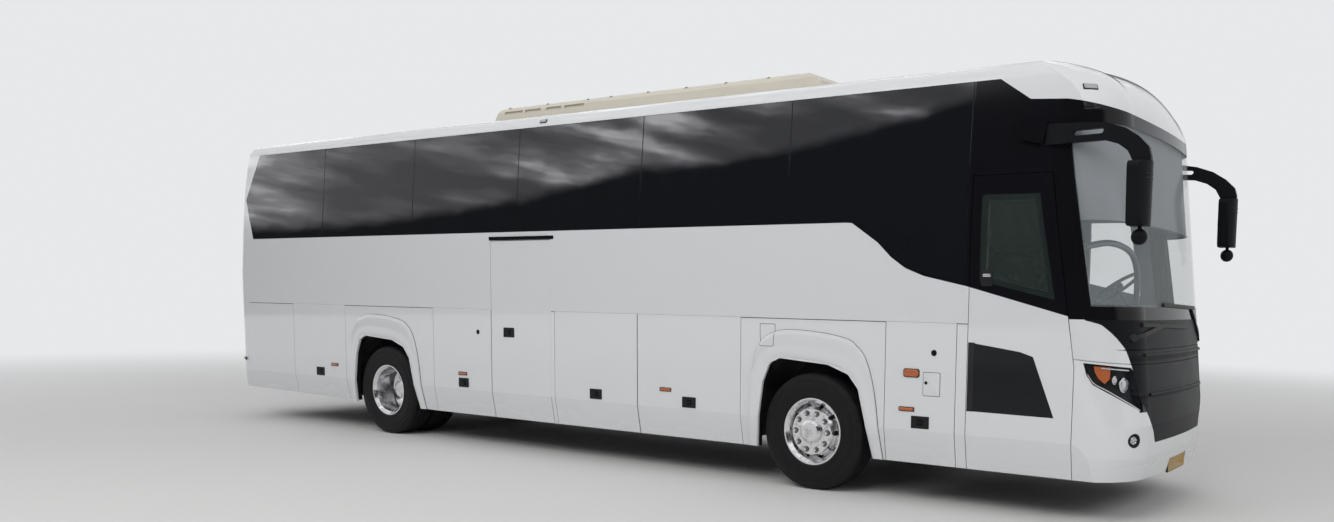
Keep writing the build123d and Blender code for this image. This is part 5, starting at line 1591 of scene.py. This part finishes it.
class COACH_OT_cabin(bpy.types.Operator):
    """Make the seats, the sun blind and the rails that show through the glass"""
    bl_idname = "coach.cabin"
    bl_label = "Cabin"

    def execute(self, context):
        self.seats(context)
        self.blind()
        self.rails()
        return {"FINISHED"}

    def seat(self, pads, shells, foot):
        """The pads and the shell of one seat."""
        for (label, spot, size, lean), shape in ([(row, pads) for row in SEAT_PADS]
                                                 + [(row, shells) for row in SEAT_SHELLS]):
            place = (Matrix.Translation(foot + Vector((spot[0], 0, spot[1])))
                     @ Matrix.Rotation(-math.radians(lean), 4, "Y"))
            if shape is pads:
                swell = trim().swell
                seams = (-0.13, 0.13) if label == "back" else ()
                if label == "cushion":
                    place = place @ Matrix.Rotation(math.radians(90), 4, "Y")
                    size = (size[2], size[1], size[0])
                shape.pad(place, size, 0.38, swell, seams)
            else:
                shape.pad(place, size, 0.2)

    def seats(self, context):
        """Rows of seats by the tree of copies, and the driver's seat."""
        tree = row_tree()
        row_pads, row_shells = Shape(), Shape()
        for sign in (-1, 1):
            for spread in (-SEAT_SPREAD, SEAT_SPREAD):
                self.seat(row_pads, row_shells, Vector((FRONT_HUB.x + SEAT_FIRST, sign * PAIR_MIDDLE + spread,
                                                        FLOOR_HEIGHT)))
        pads, shells = Shape(), Shape()
        self.seat(pads, shells, Vector((FRONT_HUB.x + DRIVER_SEAT[0], *DRIVER_SEAT[1:])))
        for name, mesh, maker, slot, count in (
                ("passenger_seats", row_pads.closed_mesh("row_pads"), seat_cloth, "seat_fabric", SEAT_ROWS),
                ("passenger_seat_shells", row_shells.closed_mesh("row_shells"), cabin_plastic,
                 "cabin_plastic", SEAT_ROWS),
                ("driver_seat", pads.closed_mesh("driver_pads"), seat_cloth, "seat_fabric", 1),
                ("driver_seat_shell", shells.closed_mesh("driver_shell"), cabin_plastic, "cabin_plastic", 1)):
            grown = tree.grow(mesh, {"Count": count, "Step": (-SEAT_PITCH, 0, 0), "Material": finish(maker)})
            thing = placed(grown, name, "root", maker, ["seats"] if name == "passenger_seats" else ())

    def blind(self):
        """The sun blind behind the windscreen, with a bar along its lower edge."""
        rows = []
        for tier in range(9):
            height = BLIND_LOW + (BLIND_HIGH - BLIND_LOW) * tier / 8
            row = []
            for step in range(41):
                turn = BLIND_TURN * (step / 20 - 1)
                way = Vector((math.cos(turn), math.sin(turn), 0))
                point = meet(Vector((BLIND_HUB, 0, height)), way, ["windscreen"])[1]
                row.append(point - way * BLIND_GAP)
            rows.append(row)
        width = sum((a - b).length for a, b in zip(rows[4], rows[4][1:]))
        drop = sum((near[20] - far[20]).length for near, far in zip(rows, rows[1:]))
        blind = Shape()
        blind.rows(rows, ring=False)
        bmesh.ops.solidify(blind.mesh, geom=blind.mesh.faces[:], thickness=0.0015)
        cloth = blind.done("sun_blind", "root", blind_cloth, "cabin_plastic")
        bar = Shape()
        bar.tube(rows[0], 0.008, 10)
        holder = bar.done("sun_blind_bar", "root", trim_plastic, "black_panel")

    def rails(self):
        """Grab rails behind the windscreen and beside the entrance's steps."""
        shape = Shape()
        for route in RAILS:
            shape.tube([Vector((FRONT_HUB.x + ahead, across, height))
                        for ahead, across, height in smooth_path(route, 6)], RAIL_RADIUS)
        shape.done("grab_rails", "root", cabin_rail, "cabin_plastic")


class COACH_OT_stage(bpy.types.Operator):
    """Set up the camera, the lamps and the floor"""
    bl_idname = "coach.stage"
    bl_label = "Stage"

    def execute(self, context):
        self.camera(context)
        self.room(context)
        self.lamps(context)
        self.floor()
        return {"FINISHED"}

    def camera(self, context):
        """A camera that stands where the photograph was taken, with its framing."""
        eye = stage()
        level = math.cos(eye.pitch)
        back = Vector((math.sin(eye.heading) * level, -math.cos(eye.heading) * level, math.sin(eye.pitch)))
        right = (-back).cross(Vector((0, 0, 1))).normalized()
        up = right.cross(-back)
        tilt = Matrix.Rotation(eye.roll, 3, -back)
        columns = (tilt @ right, tilt @ up, back)
        lens = bpy.data.cameras.new("camera")
        lens.sensor_width = 36
        lens.lens = eye.focal / IMAGE_WIDTH * lens.sensor_width
        lens.shift_x = (IMAGE_WIDTH / 2 - eye.centre[0]) / IMAGE_WIDTH
        lens.shift_y = (eye.centre[1] - IMAGE_HEIGHT / 2) / IMAGE_WIDTH
        lens.clip_end = 200
        camera = bpy.data.objects.new("camera", lens)
        camera.matrix_world = Matrix.Translation(eye.eye) @ Matrix(columns).transposed().to_4x4()
        context.scene.collection.objects.link(camera)
        context.scene.camera = camera
        context.scene.view_settings.view_transform = "Standard"

    def room(self, context):
        """A pale room: its plain colour shows behind the coach, and glass and metal mirror a dark skyline
        with streaks of light over it."""
        world = bpy.data.worlds.new("room")
        made = Finish("room", world)
        light = made.node("ShaderNodeBackground", {}, {
            "Color": made.colour(made.ramp(made.z, -0.2, 0.8), (0.42, 0.42, 0.425), (1, 1, 1.01)),
            "Strength": stage().sky,
        })
        streaks = made.path(made.noise(8, 4, STREAK_STRETCH), STREAKS)
        mirrored = made.ramp(made.z - made.path(made.x, SKYLINE), 0.0, 0.012) * streaks + 0.03
        near = made.ramp(0 - made.y, 0.05, 0.3)
        far = made.ramp(made.y, 0.05, 0.3) * made.ramp(0 - made.x, 0.0, 0.2)
        glossy = Value(made, made.node("ShaderNodeLightPath").outputs["Is Glossy Ray"])
        behind = made.either(near, far) * glossy
        shown = made.node("ShaderNodeBackground", {}, {
            "Color": made.colour(behind, stage().backdrop, (1, 1, 1.03)),
            "Strength": made.math("MULTIPLY", behind, mirrored) + (1 - behind),
        })
        mix = made.node("ShaderNodeMixShader", {}, {"Fac": seen_rays(made.tree)})
        made.tree.links.new(light.outputs["Background"], mix.inputs[1])
        made.tree.links.new(shown.outputs["Background"], mix.inputs[2])
        made.node("ShaderNodeOutputWorld", {}, {"Surface": mix.outputs["Shader"]})
        context.scene.world = world

    def lamps(self, context):
        """Large soft lamps: over both sides, before the front and behind."""
        for name, place, aim, size, power in STUDIO_LAMPS:
            lamp = bpy.data.lights.new(name, "AREA")
            lamp.shape = "RECTANGLE"
            lamp.size = size
            lamp.size_y = size / 2
            lamp.energy = power
            holder = bpy.data.objects.new(name, lamp)
            holder.location = place
            holder.visible_glossy = False
            holder.rotation_euler = (Vector(aim) - Vector(place)).to_track_quat("-Z", "Y").to_euler()
            context.scene.collection.objects.link(holder)

    def floor(self):
        """A wide pale floor that fades into the room round the coach."""
        made = Finish("floor_finish")
        reach = made.math("SQRT", made.x * made.x + made.y * made.y)
        fade = made.ramp(reach, *FLOOR_FADE)
        surface = made.node("ShaderNodeBsdfPrincipled", {}, {
            "Base Color": made.colour(made.noise(0.6, 4), stage().floor,
                                      tuple(share * 0.97 for share in stage().floor)),
            "Roughness": made.noise(30, 3) * 0.1 + 0.75,
        })
        glow = made.node("ShaderNodeEmission", {}, {"Color": stage().backdrop})
        mix = made.node("ShaderNodeMixShader", {}, {"Fac": fade * Value(made, seen_rays(made.tree))})
        made.tree.links.new(surface.outputs["BSDF"], mix.inputs[1])
        made.tree.links.new(glow.outputs["Emission"], mix.inputs[2])
        made.node("ShaderNodeOutputMaterial", {}, {"Surface": mix.outputs["Shader"]})
        mesh = bpy.data.meshes.new("floor_plane")
        corners = ((-1, -1), (1, -1), (1, 1), (-1, 1))
        mesh.from_pydata([(x * FLOOR_REACH, y * FLOOR_REACH, 0) for x, y in corners], [], [(0, 1, 2, 3)])
        mesh.materials.append(made.material)
        plane = bpy.data.objects.new("floor_plane", mesh)
        bpy.context.scene.collection.objects.link(plane)


OPERATORS = (COACH_OT_finish_frame, COACH_OT_tyres, COACH_OT_wheel_details, COACH_OT_lamps, COACH_OT_plates,
             COACH_OT_fittings, COACH_OT_arches, COACH_OT_roof_and_mirrors, COACH_OT_cabin, COACH_OT_stage)


class COACH_PT_panel(bpy.types.Panel):
    """Buttons for the coach's pieces"""
    bl_label = "Coach"
    bl_idname = "COACH_PT_panel"
    bl_space_type = "VIEW_3D"
    bl_region_type = "UI"
    bl_category = "Coach"

    def draw(self, context):
        for operator in OPERATORS:
            self.layout.operator(operator.bl_idname)
        for group in (paint(), trim(), stage()):
            for name in group.bl_rna.properties.keys():
                if name not in ("rna_type", "name"):
                    self.layout.prop(group, name)


CLASSES = (CoachPaint, CoachTrim, CoachStage) + OPERATORS + (COACH_PT_panel,)


def register():
    for member in CLASSES:
        bpy.utils.register_class(member)
    bpy.types.Scene.coach_paint = bpy.props.PointerProperty(type=CoachPaint)
    bpy.types.Scene.coach_trim = bpy.props.PointerProperty(type=CoachTrim)
    bpy.types.Scene.coach_stage = bpy.props.PointerProperty(type=CoachStage)


def unregister():
    del bpy.types.Scene.coach_stage
    del bpy.types.Scene.coach_trim
    del bpy.types.Scene.coach_paint
    for member in reversed(CLASSES):
        bpy.utils.unregister_class(member)


def main():
    """Make every piece in order."""
    register()
    for operator in OPERATORS:
        group, name = operator.bl_idname.split(".")
        getattr(getattr(bpy.ops, group), name)()


if __name__ == "__main__":
    main()
